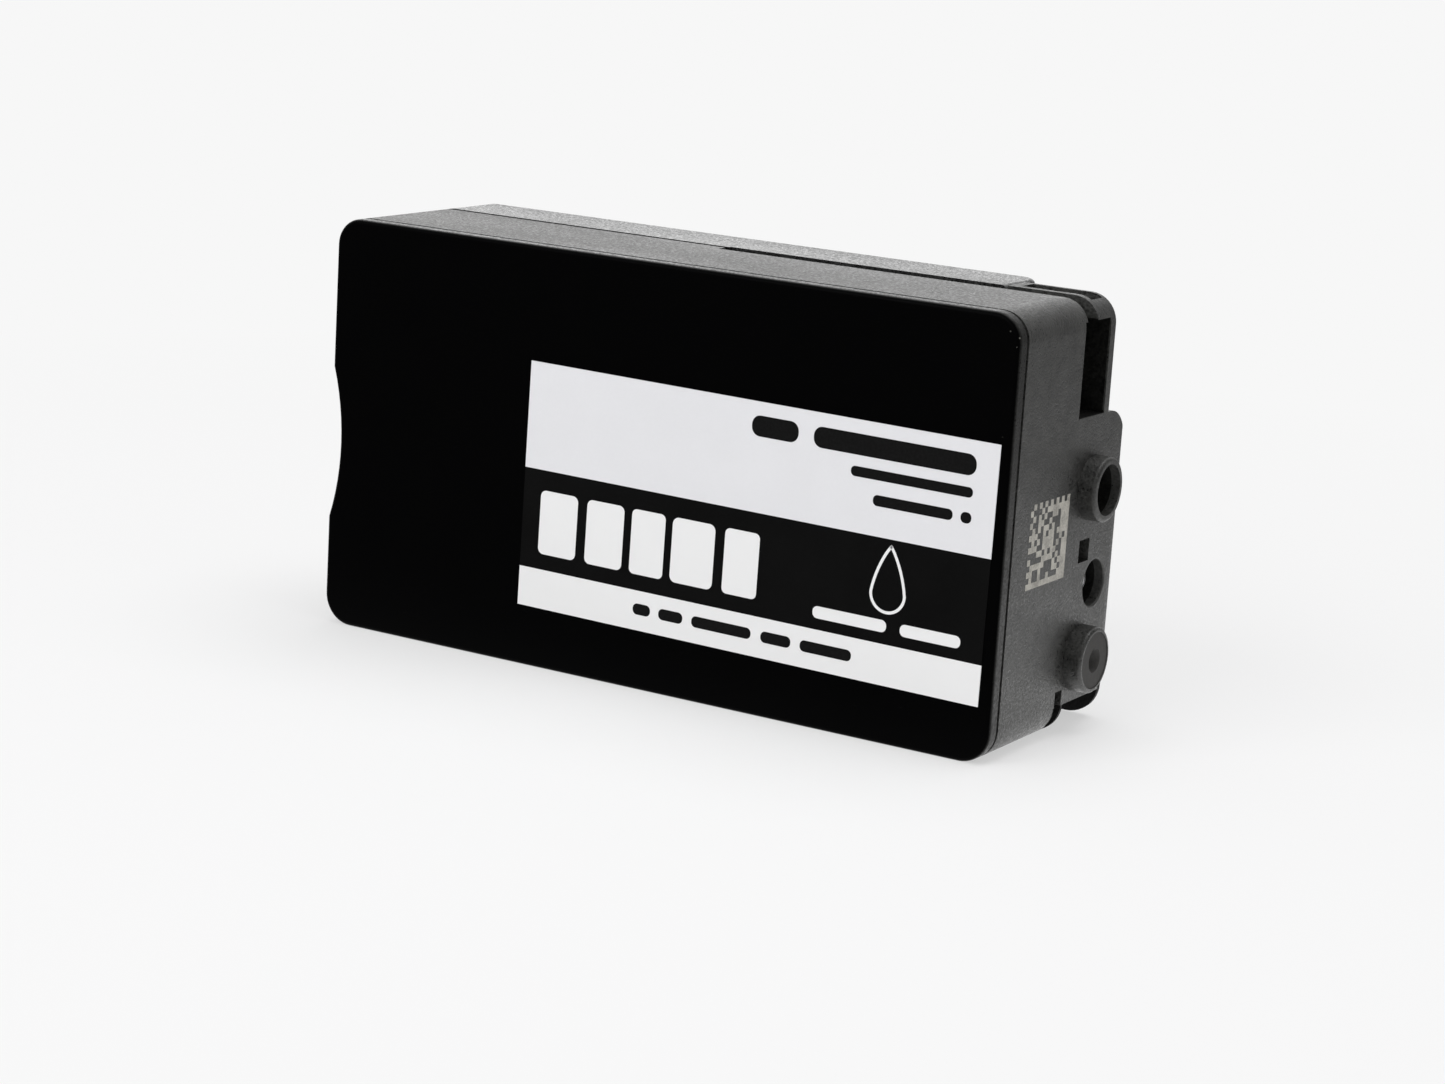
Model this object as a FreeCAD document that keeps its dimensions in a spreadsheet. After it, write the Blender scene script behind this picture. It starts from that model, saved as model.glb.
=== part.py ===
import FreeCAD, Part
import math
import os

import Sketcher

# Inkjet ink cartridge that stands on its narrow bottom. Every length is in millimetres.
# The pieces are drawn from the lower front corner at the finger notch end: X runs to the port
# end, Y from the label face to the back, Z up. Each piece's Placement then moves that corner,
# so that the finished part has its origin at the middle of its bottom.

SIZES = {
    # Whole body
    "body_length": 112.0,
    "body_height": 61.0,
    "body_depth": 35.0,
    "corner_top": 4.0,
    "corner_bottom": 4.5,
    "finger_radius": 38.0,
    "finger_depth": 1.72,
    "finger_share": 0.4508,
    "fit_gap": 0.2,
    # Front cover: a plate, a weld ring set back from its outline and a tongue inside the tank
    "cover_plate": 2.1,
    "cover_edge": 0.7,
    "weld_height": 0.6,
    "weld_inset": 0.7,
    "tongue_reach": 1.5,
    "tongue_wall": 1.0,
    # Tank body
    "tank_wall": 1.8,
    "tank_set": 14.5,
    "shoulder_set": 12.7,
    "shoulder_length": 53.0,
    "divider_set": 16.8,
    "divider_wall": 2.0,
    "spigot_wall": 1.2,
    "spigot_set": 9.0,
    "groove_depth": 3.4,
    "groove_set": 11.2,
    "key_set": 15.4,
    "key_width": 2.1,
    "key_height": 6.55,
    "key_length": 15.0,
    # Rear cover
    "rear_wall": 1.5,
    "rear_seam": 1.0,
    "rear_lift": 0.4,
    "bay_length": 14.4,
    "rear_end_round": 3.0,
    "rear_edge": 0.8,
    "lip_wall": 1.5,
    "stake_radius": 1.4,
    "stake_inset": 12.0,
    "socket_wall": 1.2,
    "socket_set": 10.0,
    "stake_end_gap": 1.0,
    # Nose that carries the ports
    "nose_length": 16.2,
    "nose_bottom": 4.35,
    "nose_drop": 16.2,
    "nose_plate": 2.0,
    "nose_shelf": 1.5,
    "nose_round": 5.0,
    "web_width": 4.4,
    "tube_end": 1.5,
    # Chip bay above the nose
    "bay_set": 5.8,
    "bay_wall": 1.5,
    "bay_ceiling": 1.2,
    "bay_corner": 4.0,
    "slot_set": 15.2,
    "slot_drop": 2.95,
    "rib_wall": 1.2,
    "rail_wall": 0.7,
    # Ink outlet and its valve
    "port_set": 9.1,
    "outlet_share": 0.1508,
    "outlet_radius": 4.7,
    "outlet_out": 2.7,
    "boss_round": 0.5,
    "septum_radius": 4.05,
    "septum_recess": 0.1,
    "septum_depth": 4.0,
    "needle_radius": 0.5,
    "funnel_radius": 1.75,
    "funnel_depth": 1.6,
    "valve_radius": 2.7,
    "valve_length": 10.5,
    "ball_radius": 2.4,
    "ball_gap": 0.05,
    "seat_mouth": 1.6,
    "seat_depth": 0.9,
    "spring_wire": 0.4,
    "spring_radius": 1.75,
    "spring_turns": 5.0,
    "tube_wall": 2.4,
    "cross_radius": 1.1,
    "cross_inset": 1.6,
    "filter_radius": 4.0,
    "filter_depth": 0.4,
    # Air port
    "air_share": 0.7478,
    "air_radius": 4.57,
    "air_out": 2.6,
    "air_bore": 3.6,
    "air_bore_depth": 4.0,
    "membrane_radius": 2.9,
    "membrane_depth": 0.5,
    "air_hole": 1.6,
    "air_length": 11.0,
    # Fill hole and its ball
    "fill_set": 5.9,
    "fill_share": 0.4017,
    "fill_radius": 3.3,
    "fill_depth": 8.0,
    "fill_gap": 0.05,
    "fill_sink": 1.5,
    "mouth_round": 0.3,
    "fill_hole": 1.6,
    "fill_length": 5.0,
    "fill_wall": 1.0,
    # Square core hole in the end face
    "core_set": 10.0,
    "core_share": 0.5303,
    "core_side": 3.2,
    # Chip
    "board_length": 12.0,
    "board_height": 12.2,
    "board_thick": 0.8,
    "board_corner": 0.8,
    "pad_length": 1.7,
    "pad_height": 2.4,
    "pad_thick": 0.1,
    "pad_pitch": 2.3,
    "pad_row_pitch": 3.2,
    "die_side": 4.0,
    "die_thick": 0.5,
    # Pressure regulator in the ink chamber
    "bag_length": 66.0,
    "bag_height": 38.0,
    "bag_thick": 3.0,
    "bag_margin": 2.0,
    "plate_length": 56.0,
    "plate_height": 26.0,
    "plate_thick": 0.6,
    "plate_corner": 5.0,
    "leaf_thick": 0.4,
    "leaf_width": 10.0,
    "leaf_span": 40.0,
    "flange_radius": 5.0,
    "flange_thick": 0.8,
    "spout_radius": 2.5,
    "spout_bore": 1.2,
    "spout_reach": 3.2,
    "bag_corner": 6.0,
    "bag_gap": 0.1,
    # Vent labyrinth behind the divider, and the bubbler that feeds it
    "film_thick": 0.15,
    "film_margin": 2.0,
    "maze_left": 20.0,
    "maze_bottom": 8.0,
    "maze_run": 26.0,
    "maze_width": 0.8,
    "maze_depth": 0.8,
    "maze_pitch": 2.4,
    "maze_runs": 8.0,
    "bubbler_radius": 1.5,
    "bubbler_hole": 0.35,
    "bubbler_wall": 1.1,
    "bubbler_boss": 2.0,
    # Label
    "label_length": 74.9,
    "label_height": 35.63,
    "label_thick": 0.1,
    "label_inset": 1.93,
    "label_bottom": 8.95,
    "label_turn": 0.676,
}

PAD_COLUMNS = 4
PAD_ROWS = 3
TOUCH = 1e-4
OVER = 1.0
PLANES = {"front": ("XZ_Plane", -1), "plan": ("XY_Plane", 1), "end": ("YZ_Plane", 1)}


class Dim:
    """A size as a number, to draw with, and as an expression, to bind with."""

    def __init__(self, value, text):
        self.value = value
        self.text = text

    def join(self, sign, other, value):
        return Dim(value, "(%s %s %s)" % (self.text, sign, other.text))

    def __add__(self, other):
        other = as_dim(other)
        return self.join("+", other, self.value + other.value)

    def __sub__(self, other):
        other = as_dim(other)
        return self.join("-", other, self.value - other.value)

    def __mul__(self, other):
        other = as_dim(other)
        return self.join("*", other, self.value * other.value)

    def __truediv__(self, other):
        other = as_dim(other)
        return self.join("/", other, self.value / other.value)

    def __radd__(self, other):
        return as_dim(other) + self

    def __rsub__(self, other):
        return as_dim(other) - self

    def __rmul__(self, other):
        return as_dim(other) * self

    def __neg__(self):
        return as_dim(0.0) - self

    def root(self):
        return Dim(math.sqrt(self.value), "sqrt(%s)" % self.text)


def as_dim(size):
    return size if isinstance(size, Dim) else Dim(float(size), repr(float(size)))


def make_sheet(doc):
    """Write the driving sizes to a spreadsheet and hand them back by name."""
    sheet = doc.addObject("Spreadsheet::Sheet", "Sizes")
    for row, (alias, number) in enumerate(SIZES.items(), start=1):
        sheet.set("A%d" % row, alias)
        sheet.set("B%d" % row, repr(number))
        sheet.setAlias("B%d" % row, alias)
    doc.recompute()
    return {alias: Dim(float(sheet.get(alias)), "Sizes." + alias) for alias in SIZES}


doc = FreeCAD.newDocument("cartridge")


class Named:
    """The sizes as attributes, so that a formula reads as words."""

    def __init__(self, sizes):
        self.__dict__.update(sizes)


d = Named(make_sheet(doc))


def bind(thing, prop, size):
    thing.setExpression(prop, as_dim(size).text)


def new_body(name):
    body = doc.addObject("PartDesign::Body", name)
    body.Label = name
    return body


def new_sketch(body, name, plane, level, across=0.0, up=0.0):
    """A sketch parallel to one of the body's origin planes, at a level along its normal."""
    role, sign = PLANES[plane]
    base = [f for f in body.Origin.OriginFeatures if f.Role == role][0]
    sketch = body.newObject("Sketcher::SketchObject", name)
    sketch.AttachmentSupport = [(base, "")]
    sketch.MapMode = "FlatFace"
    bind(sketch, "AttachmentOffset.Base.x", across)
    bind(sketch, "AttachmentOffset.Base.y", up)
    bind(sketch, "AttachmentOffset.Base.z", as_dim(level) * sign)
    return sketch


def hold(sketch, kind, *parts):
    """Add a constraint whose last part is its size."""
    index = sketch.addConstraint(Sketcher.Constraint(kind, *parts[:-1], parts[-1].value))
    sketch.setExpression("Constraints[%d]" % index, parts[-1].text)


def pin_point(sketch, line, end, x, y):
    hold(sketch, "DistanceX", -1, 1, line, end, as_dim(x))
    hold(sketch, "DistanceY", -1, 1, line, end, as_dim(y))


def draw_polygon(sketch, points):
    """A closed run of straight lines, each corner held at its place."""
    points = [(as_dim(x), as_dim(y)) for x, y in points]
    spots = [FreeCAD.Vector(x.value, y.value, 0) for x, y in points]
    first = sketch.GeometryCount
    count = len(points)
    for i in range(count):
        sketch.addGeometry(Part.LineSegment(spots[i], spots[(i + 1) % count]))
    for i in range(count):
        sketch.addConstraint(Sketcher.Constraint("Coincident", first + i, 2, first + (i + 1) % count, 1))
        pin_point(sketch, first + i, 1, *points[i])


def draw_box(sketch, left, right, bottom, top):
    draw_polygon(sketch, [(left, bottom), (right, bottom), (right, top), (left, top)])


def draw_circle(sketch, x, y, radius):
    x, y, radius = as_dim(x), as_dim(y), as_dim(radius)
    centre = FreeCAD.Vector(x.value, y.value, 0)
    circle = sketch.addGeometry(Part.Circle(centre, FreeCAD.Vector(0, 0, 1), radius.value))
    pin_point(sketch, circle, 3, x, y)
    hold(sketch, "Radius", circle, radius)


def draw_round_box(sketch, left, right, bottom, top, low, high):
    """A box with round corners: one radius at its bottom and one at its top."""
    left, right, bottom, top, low, high = map(as_dim, (left, right, bottom, top, low, high))
    spots = [
        (left + low, bottom), (right - low, bottom), (right, bottom + low), (right, top - high),
        (right - high, top), (left + high, top), (left, top - high), (left, bottom + low),
    ]
    points = [FreeCAD.Vector(x.value, y.value, 0) for x, y in spots]
    middles = [
        (right - low, bottom + low, low), (right - high, top - high, high),
        (left + high, top - high, high), (left + low, bottom + low, low),
    ]
    lines = []
    for side in range(4):
        line = sketch.addGeometry(Part.LineSegment(points[2 * side], points[2 * side + 1]))
        pin_point(sketch, line, 1, *spots[2 * side])
        pin_point(sketch, line, 2, *spots[2 * side + 1])
        lines.append(line)
    for corner, (x, y, radius) in enumerate(middles):
        circle = Part.Circle(FreeCAD.Vector(x.value, y.value, 0), FreeCAD.Vector(0, 0, 1), radius.value)
        start = math.pi / 2 * (corner - 1)
        arc = sketch.addGeometry(Part.ArcOfCircle(circle, start, start + math.pi / 2))
        sketch.addConstraint(Sketcher.Constraint("Coincident", lines[corner], 2, arc, 1))
        sketch.addConstraint(Sketcher.Constraint("Coincident", arc, 2, lines[(corner + 1) % 4], 1))
        hold(sketch, "Radius", arc, radius)


def draw_segment(sketch, x, y, radius, chord):
    """The part of a circle that lies beyond an upright chord."""
    x, y, radius, chord = as_dim(x), as_dim(y), as_dim(radius), as_dim(chord)
    half = math.acos((chord.value - x.value) / radius.value)
    centre = FreeCAD.Vector(x.value, y.value, 0)
    circle = Part.Circle(centre, FreeCAD.Vector(0, 0, 1), radius.value)
    arc = sketch.addGeometry(Part.ArcOfCircle(circle, -half, half))
    ends = [circle.value(angle) for angle in (half, -half)]
    line = sketch.addGeometry(Part.LineSegment(*ends))
    sketch.addConstraint(Sketcher.Constraint("Coincident", arc, 2, line, 1))
    sketch.addConstraint(Sketcher.Constraint("Coincident", line, 2, arc, 1))
    sketch.addConstraint(Sketcher.Constraint("Vertical", line))
    pin_point(sketch, arc, 3, x, y)
    hold(sketch, "Radius", arc, radius)
    hold(sketch, "DistanceX", -1, 1, line, 1, chord)


def draw_corner_waste(sketch, x, y, radius):
    """What a rounding takes off the upper right corner at x, y."""
    x, y, radius = as_dim(x), as_dim(y), as_dim(radius)
    outside = radius / 2
    corner = [(x, y - radius), (x + outside, y - radius), (x + outside, y + outside), (x - radius, y + outside)]
    spots = [FreeCAD.Vector(a.value, b.value, 0) for a, b in corner + [(x - radius, y)]]
    for i in range(4):
        sketch.addGeometry(Part.LineSegment(spots[i], spots[i + 1]))
        pin_point(sketch, i, 1, *corner[i])
    centre = FreeCAD.Vector(x.value - radius.value, y.value - radius.value, 0)
    circle = Part.Circle(centre, FreeCAD.Vector(0, 0, 1), radius.value)
    arc = sketch.addGeometry(Part.ArcOfCircle(circle, 0, math.pi / 2))
    for i in range(3):
        sketch.addConstraint(Sketcher.Constraint("Coincident", i, 2, i + 1, 1))
    sketch.addConstraint(Sketcher.Constraint("Vertical", 3))
    sketch.addConstraint(Sketcher.Constraint("Coincident", 3, 2, arc, 2))
    sketch.addConstraint(Sketcher.Constraint("Coincident", arc, 1, 0, 1))
    pin_point(sketch, arc, 3, x - radius, y - radius)


def grow(kind, body, sketch, length, ahead):
    """A pad or pocket from its sketch, ahead along the plane's own axis or back from it."""
    role = [role for role, _ in PLANES.values() if role in sketch.AttachmentSupport[0][0].Role][0]
    upright = dict(PLANES.values())[role] > 0
    feature = body.newObject("PartDesign::" + kind, sketch.Name + "_" + kind.lower())
    feature.Profile = sketch
    bind(feature, "Length", length)
    feature.Reversed = (ahead != upright) if kind == "Pad" else (ahead == upright)
    sketch.Visibility = False
    return feature


def settle(body, feature):
    """Compute a new feature and stop if it left the body without a solid."""
    doc.recompute()
    if body.Tip.Shape.isNull() or not body.Tip.Shape.Solids:
        raise RuntimeError("%s leaves no solid: %s" % (feature.Name, feature.State))


def pad(body, sketch, length, ahead=True):
    settle(body, grow("Pad", body, sketch, length, ahead))


def pocket(body, sketch, length, ahead=True):
    before = body.Tip.Shape.Volume
    feature = grow("Pocket", body, sketch, length, ahead)
    settle(body, feature)
    if body.Tip.Shape.Volume >= before - TOUCH:
        raise RuntimeError(feature.Name + " cuts nothing")
    return feature


def edges_at(shape, axis, places):
    """Names of the straight edges along an axis that stand at the given places beside it."""
    names = []
    others = [k for k in range(3) if k != axis]
    for number, edge in enumerate(shape.Edges, start=1):
        ends = [v.Point for v in edge.Vertexes]
        if len(ends) < 2 or edge.Curve.TypeId != "Part::GeomLine":
            continue
        if any(abs(ends[0][k] - ends[1][k]) > TOUCH for k in others):
            continue
        for place in places:
            if all(abs(ends[0][k] - as_dim(at).value) < TOUCH for k, at in zip(others, place)):
                names.append("Edge%d" % number)
    return names


def edges_in_plane(shape, axis, level):
    """Names of every edge that lies in a plane across the axis."""
    box_ends = (("XMin", "XMax"), ("YMin", "YMax"), ("ZMin", "ZMax"))[axis]
    level = as_dim(level).value
    return [
        "Edge%d" % number
        for number, edge in enumerate(shape.Edges, start=1)
        if all(abs(getattr(edge.BoundBox, end) - level) < TOUCH for end in box_ends)
    ]


def round_edges(body, name, names, radius):
    if not names:
        raise RuntimeError(name + " found no edge")
    fillet = body.newObject("PartDesign::Fillet", name)
    fillet.Base = (body.Tip if body.Tip != fillet else fillet.BaseFeature, names)
    bind(fillet, "Radius", radius)
    settle(body, fillet)


def seat(piece, x=0.0, y=0.0, z=0.0):
    """Place a piece, with the part's origin at the middle of its bottom."""
    bind(piece, "Placement.Base.x", as_dim(x) - outlet_face / 2)
    bind(piece, "Placement.Base.y", as_dim(y) - (d.body_depth - d.label_thick) / 2)
    bind(piece, "Placement.Base.z", z)


# Places that several pieces share, from the body's own length, height and depth
tank_back = d.body_depth - d.tank_set
shoulder_back = d.body_depth - d.shoulder_set
divider_front = d.body_depth - d.divider_set
spigot_back = d.body_depth - d.spigot_set
groove_back = d.body_depth - d.groove_set
key_front = d.body_depth - d.key_set
socket_front = d.body_depth - d.socket_set
bay_back = d.body_depth - d.bay_set
slot_front = d.body_depth - d.slot_set
port_back = d.body_depth - d.port_set
fill_back = d.body_depth - d.fill_set
core_back = d.body_depth - d.core_set
rear_length = d.body_length - d.bay_length
nose_top = d.body_height - d.nose_drop
slot_top = d.body_height - d.slot_drop
nose_height = nose_top - d.nose_bottom
outlet_height = d.nose_bottom + nose_height * d.outlet_share
fill_height = d.nose_bottom + nose_height * d.fill_share
core_height = d.nose_bottom + nose_height * d.core_share
air_height = d.nose_bottom + nose_height * d.air_share
finger_height = d.body_height * d.finger_share
label_left = d.body_length - d.label_inset - d.label_length
weld_back = d.cover_plate + d.weld_height
finger_centre = d.finger_depth - d.finger_radius
divider_back = divider_front + d.divider_wall
nose_left = d.body_length - d.nose_length
nose_back = d.body_depth - d.rear_wall
spigot_right = nose_left
spigot_top = d.body_height - d.groove_depth
rear_front = shoulder_back + d.rear_seam
rear_bottom = d.rear_lift + d.rear_wall
bay_left = rear_length + d.fit_gap
slot_left = bay_left + d.bay_wall
outlet_face = d.body_length + d.outlet_out
septum_face = outlet_face - d.septum_recess
valve_face = septum_face - d.septum_depth
valve_end = valve_face - d.valve_length
air_face = d.body_length + d.air_out
air_step = air_face - d.air_bore_depth
air_end = air_step - d.air_length
fill_step = d.body_length - d.fill_depth
fill_end = fill_step - d.fill_length
ink_way = valve_end + d.cross_inset
air_way = air_end + d.cross_inset
fill_way = fill_end + d.cross_inset
board_left = slot_left + d.fit_gap
board_bottom = nose_top + d.fit_gap
bubbler_x = d.maze_left + d.maze_width / 2
bubbler_height = d.maze_bottom + d.maze_width / 2
stake_left = d.stake_inset
stake_right = nose_left - d.stake_inset
bag_right = air_way + d.flange_radius + d.bag_margin
bag_middle = bag_right - d.bag_length / 2


def notch_wall(body, name, level, depth, wall):
    """The wall behind the finger notch, as thick as the walls beside it."""
    sketch = new_sketch(body, name, "front", level)
    draw_segment(sketch, finger_centre, finger_height, d.finger_radius + wall, wall / 2)
    pad(body, sketch, depth)


def notch_cut(body, name, level, depth):
    """The finger notch at the end away from the ports."""
    sketch = new_sketch(body, name, "front", level)
    draw_circle(sketch, finger_centre, finger_height, d.finger_radius)
    pocket(body, sketch, depth)


def draw_inset(sketch, inset=0.0, left=None):
    """The body's outline with its round corners, set back by an inset."""
    inset = as_dim(inset)
    left = inset if left is None else left
    draw_round_box(
        sketch, left, d.body_length - inset, inset, d.body_height - inset,
        d.corner_bottom - inset, d.corner_top - inset)


def add_ring(body, name, level, outer, inner, reach):
    """A ring that follows the outline between two insets, clear of the finger notch."""
    sketch = new_sketch(body, name, "front", level)
    draw_inset(sketch, outer, d.finger_depth + outer)
    draw_inset(sketch, inner, d.finger_depth + inner)
    pad(body, sketch, reach)


def make_front_cover():
    body = new_body("front_cover")
    plate = new_sketch(body, "cover_outline", "front", 0)
    draw_inset(plate)
    pad(body, plate, d.cover_plate)
    notch_cut(body, "cover_notch", 0, d.cover_plate)
    round_edges(body, "cover_front_edge", edges_in_plane(body.Tip.Shape, 1, 0), d.cover_edge)
    # The ring meets the tank's wall and leaves a dark seam all round
    add_ring(body, "weld_ring", d.cover_plate, d.weld_inset, d.tank_wall, d.weld_height)
    gap = d.tank_wall + d.fit_gap
    add_ring(body, "tongue", d.cover_plate, gap, gap + d.tongue_wall, d.weld_height + d.tongue_reach)
    return body


def cut_nose_corner(body, name, length):
    """The round upper corner at the back of the nose, cut through whatever reaches into it."""
    sketch = new_sketch(body, name, "end", d.body_length)
    draw_corner_waste(sketch, d.body_depth, nose_top, d.nose_round)
    pocket(body, sketch, length, ahead=False)


def add_tank_walls(body):
    """The box in front of the divider, its ink chamber and the step at the back."""
    outline = new_sketch(body, "tank_outline", "front", weld_back)
    draw_inset(outline)
    pad(body, outline, shoulder_back - weld_back)
    step = new_sketch(body, "tank_step", "front", tank_back)
    draw_box(step, d.shoulder_length, d.body_length + OVER, spigot_top, d.body_height + OVER)
    pocket(body, step, shoulder_back - tank_back)
    room = new_sketch(body, "nose_room", "front", tank_back)
    draw_box(
        room, nose_left, d.body_length - d.nose_plate, d.nose_bottom + d.nose_shelf, nose_top - d.nose_shelf)
    pocket(body, room, shoulder_back - tank_back)
    chamber = new_sketch(body, "ink_chamber", "front", weld_back)
    wall = d.tank_wall
    draw_inset(chamber, wall)
    pocket(body, chamber, divider_front - weld_back)
    notch_wall(body, "chamber_notch_wall", weld_back, divider_front - weld_back, wall)
    notch_cut(body, "tank_notch", weld_back, shoulder_back - weld_back)


def add_spigot(body):
    """The ring behind the tank that the rear cover slides over, open at the back."""
    left = d.finger_depth + d.rear_wall + d.fit_gap
    low = rear_bottom + d.fit_gap
    high = d.body_height - d.rear_wall - d.fit_gap
    bend = d.shoulder_length - d.fit_gap
    wall = d.spigot_wall
    ring = new_sketch(body, "spigot", "front", divider_back)
    draw_polygon(ring, [
        (left, low), (spigot_right, low), (spigot_right, spigot_top),
        (bend, spigot_top), (bend, high), (left, high),
    ])
    pad(body, ring, spigot_back - divider_back)
    room = new_sketch(body, "back_room", "front", spigot_back)
    draw_polygon(room, [
        (left + wall, low + wall), (spigot_right - wall, low + wall), (spigot_right - wall, spigot_top - wall),
        (bend - wall, spigot_top - wall), (bend - wall, high - wall), (left + wall, high - wall),
    ])
    pocket(body, room, spigot_back - divider_back, ahead=False)


def add_nose(body):
    """The end plate with its two shelves, which stand out behind the tank."""
    plate = new_sketch(body, "nose_plate_outline", "end", d.body_length)
    draw_box(plate, divider_back, nose_back, d.nose_bottom, nose_top)
    pad(body, plate, d.nose_plate, ahead=False)
    shelves = new_sketch(body, "nose_shelves", "end", d.body_length)
    draw_box(shelves, divider_back, nose_back, d.nose_bottom, d.nose_bottom + d.nose_shelf)
    draw_box(shelves, divider_back, nose_back, nose_top - d.nose_shelf, nose_top)
    pad(body, shelves, d.nose_length, ahead=False)
    cut_nose_corner(body, "nose_corner", d.nose_length)


def add_chip_bay(body):
    """The block above the nose: a slot for the chip, the top groove and a hollow over the slot."""
    block = new_sketch(body, "bay_block", "front", tank_back)
    draw_box(block, bay_left, d.body_length, nose_top - d.nose_shelf, d.body_height)
    pad(body, block, bay_back - tank_back)
    bridge = new_sketch(body, "bay_bridge", "front", tank_back)
    draw_box(bridge, nose_left, bay_left, nose_top - d.nose_shelf, spigot_top)
    pad(body, bridge, rear_front - d.fit_gap - tank_back)
    slot = new_sketch(body, "chip_slot", "end", d.body_length)
    draw_box(slot, slot_front, bay_back - d.bay_wall, nose_top, slot_top)
    pocket(body, slot, d.body_length - slot_left, ahead=False)
    hollow = new_sketch(body, "bay_hollow", "plan", d.body_height)
    front = groove_back + d.rib_wall
    draw_box(hollow, slot_left, d.body_length - d.nose_plate, front, bay_back - d.rail_wall)
    pocket(body, hollow, d.body_height - slot_top - d.bay_ceiling, ahead=False)
    groove = new_sketch(body, "top_groove", "front", tank_back)
    draw_box(groove, bay_left, d.body_length + OVER, spigot_top, d.body_height + OVER)
    pocket(body, groove, groove_back - tank_back)
    corner = new_sketch(body, "bay_corner_waste", "front", tank_back)
    draw_corner_waste(corner, d.body_length, d.body_height, d.bay_corner)
    pocket(body, corner, bay_back - tank_back)
    die_room = new_sketch(body, "die_room", "front", slot_front)
    half = d.die_side / 2 + d.fit_gap
    middle = (board_left + d.board_length / 2, board_bottom + d.board_height / 2)
    draw_box(die_room, middle[0] - half, middle[0] + half, middle[1] - half, middle[1] + half)
    pocket(body, die_room, d.die_thick + d.bag_gap, ahead=False)


def add_port_tube(body, name, back, height, radius, end, web):
    """A tube behind the end plate and the web that joins it to the divider."""
    start = d.body_length - d.nose_plate
    tube = new_sketch(body, name + "_tube", "end", start)
    draw_circle(tube, back, height, radius)
    pad(body, tube, start - end + d.tube_end, ahead=False)
    rib = new_sketch(body, name + "_web", "end", start)
    draw_box(rib, divider_back, back, height - web / 2, height + web / 2)
    pad(body, rib, start - end + d.tube_end, ahead=False)


def bore(body, name, face, back, height, radius, depth):
    """A round hole along X, inwards from a face."""
    sketch = new_sketch(body, name, "end", face)
    draw_circle(sketch, back, height, radius)
    pocket(body, sketch, depth, ahead=False)


def cross_bore(body, name, x, height, radius, level, depth):
    """A round hole along Y, from the ink chamber's side."""
    sketch = new_sketch(body, name, "front", level)
    draw_circle(sketch, x, height, radius)
    pocket(body, sketch, depth)


def add_boss(body, name, height, radius, out):
    """A round boss on the end face with an eased lip."""
    sketch = new_sketch(body, name, "end", d.body_length)
    draw_circle(sketch, port_back, height, radius)
    pad(body, sketch, out)
    lip = edges_in_plane(body.Tip.Shape, 0, d.body_length + out)
    round_edges(body, name + "_lip", lip, d.boss_round)


def add_ports(body):
    add_port_tube(body, "outlet", port_back, outlet_height, d.valve_radius + d.tube_wall, valve_end, d.web_width)
    air_web = (d.spout_radius + d.fill_wall) * 2
    add_port_tube(body, "air", port_back, air_height, d.air_bore + d.fill_wall, air_end, air_web)
    add_port_tube(body, "fill", fill_back, fill_height, d.fill_radius + d.fill_wall, fill_end, d.web_width)
    add_boss(body, "air_boss", air_height, d.air_radius, d.air_out)
    add_boss(body, "outlet_boss", outlet_height, d.outlet_radius, d.outlet_out)
    port = (port_back, outlet_height)
    bore(body, "septum_seat", outlet_face, *port, d.septum_radius, d.septum_recess + d.septum_depth)
    bore(body, "valve_bore", valve_face, *port, d.valve_radius, d.valve_length)
    port = (port_back, air_height)
    bore(body, "air_mouth", air_face, *port, d.air_bore, d.air_bore_depth)
    bore(body, "membrane_seat", air_step, *port, d.membrane_radius + d.fill_gap, d.membrane_depth + d.fill_gap)
    bore(body, "air_way", air_step, *port, d.air_hole, d.air_length)
    port = (fill_back, fill_height)
    bore(body, "fill_mouth", d.body_length, *port, d.fill_radius, d.fill_depth)
    rim = [
        name for name in edges_in_plane(body.Tip.Shape, 0, d.body_length)
        if abs(body.Tip.Shape.getElement(name).Length - math.tau * d.fill_radius.value) < TOUCH
    ]
    round_edges(body, "fill_rim", rim, d.mouth_round)
    bore(body, "fill_way", fill_step, *port, d.fill_hole, d.fill_length)
    start = divider_front
    cross_bore(body, "ink_way", ink_way, outlet_height, d.cross_radius, start, port_back - start)
    filter_seat = d.filter_radius + d.fill_gap
    cross_bore(body, "filter_seat", ink_way, outlet_height, filter_seat, start, d.filter_depth + d.fill_gap)
    cross_bore(body, "fill_cross", fill_way, fill_height, d.cross_radius, start, fill_back - start)
    cross_bore(body, "bag_way", air_way, air_height, d.spout_bore, start, port_back - start)
    cross_bore(body, "spout_seat", air_way, air_height, d.spout_radius + d.fill_gap, start, d.spout_reach)
    core = new_sketch(body, "core_hole", "end", d.body_length)
    half = d.core_side / 2
    draw_box(core, core_back - half, core_back + half, core_height - half, core_height + half)
    pocket(body, core, d.nose_plate, ahead=False)
    key = new_sketch(body, "key_slot", "end", d.body_length)
    draw_box(key, key_front, key_front + d.key_width, -OVER, d.key_height)
    pocket(body, key, d.key_length, ahead=False)


def repeat_up(body, feature, pitch, count):
    """Copies of a pocket, one above the other."""
    axis = [f for f in body.Origin.OriginFeatures if f.Role == "Z_Axis"][0]
    row = body.newObject("PartDesign::LinearPattern", feature.Name + "_row")
    row.Originals = [feature]
    row.Direction = (axis, [""])
    row.Occurrences = count
    bind(row, "Length", pitch * (count - 1))
    body.Tip = row
    doc.recompute()


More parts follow.
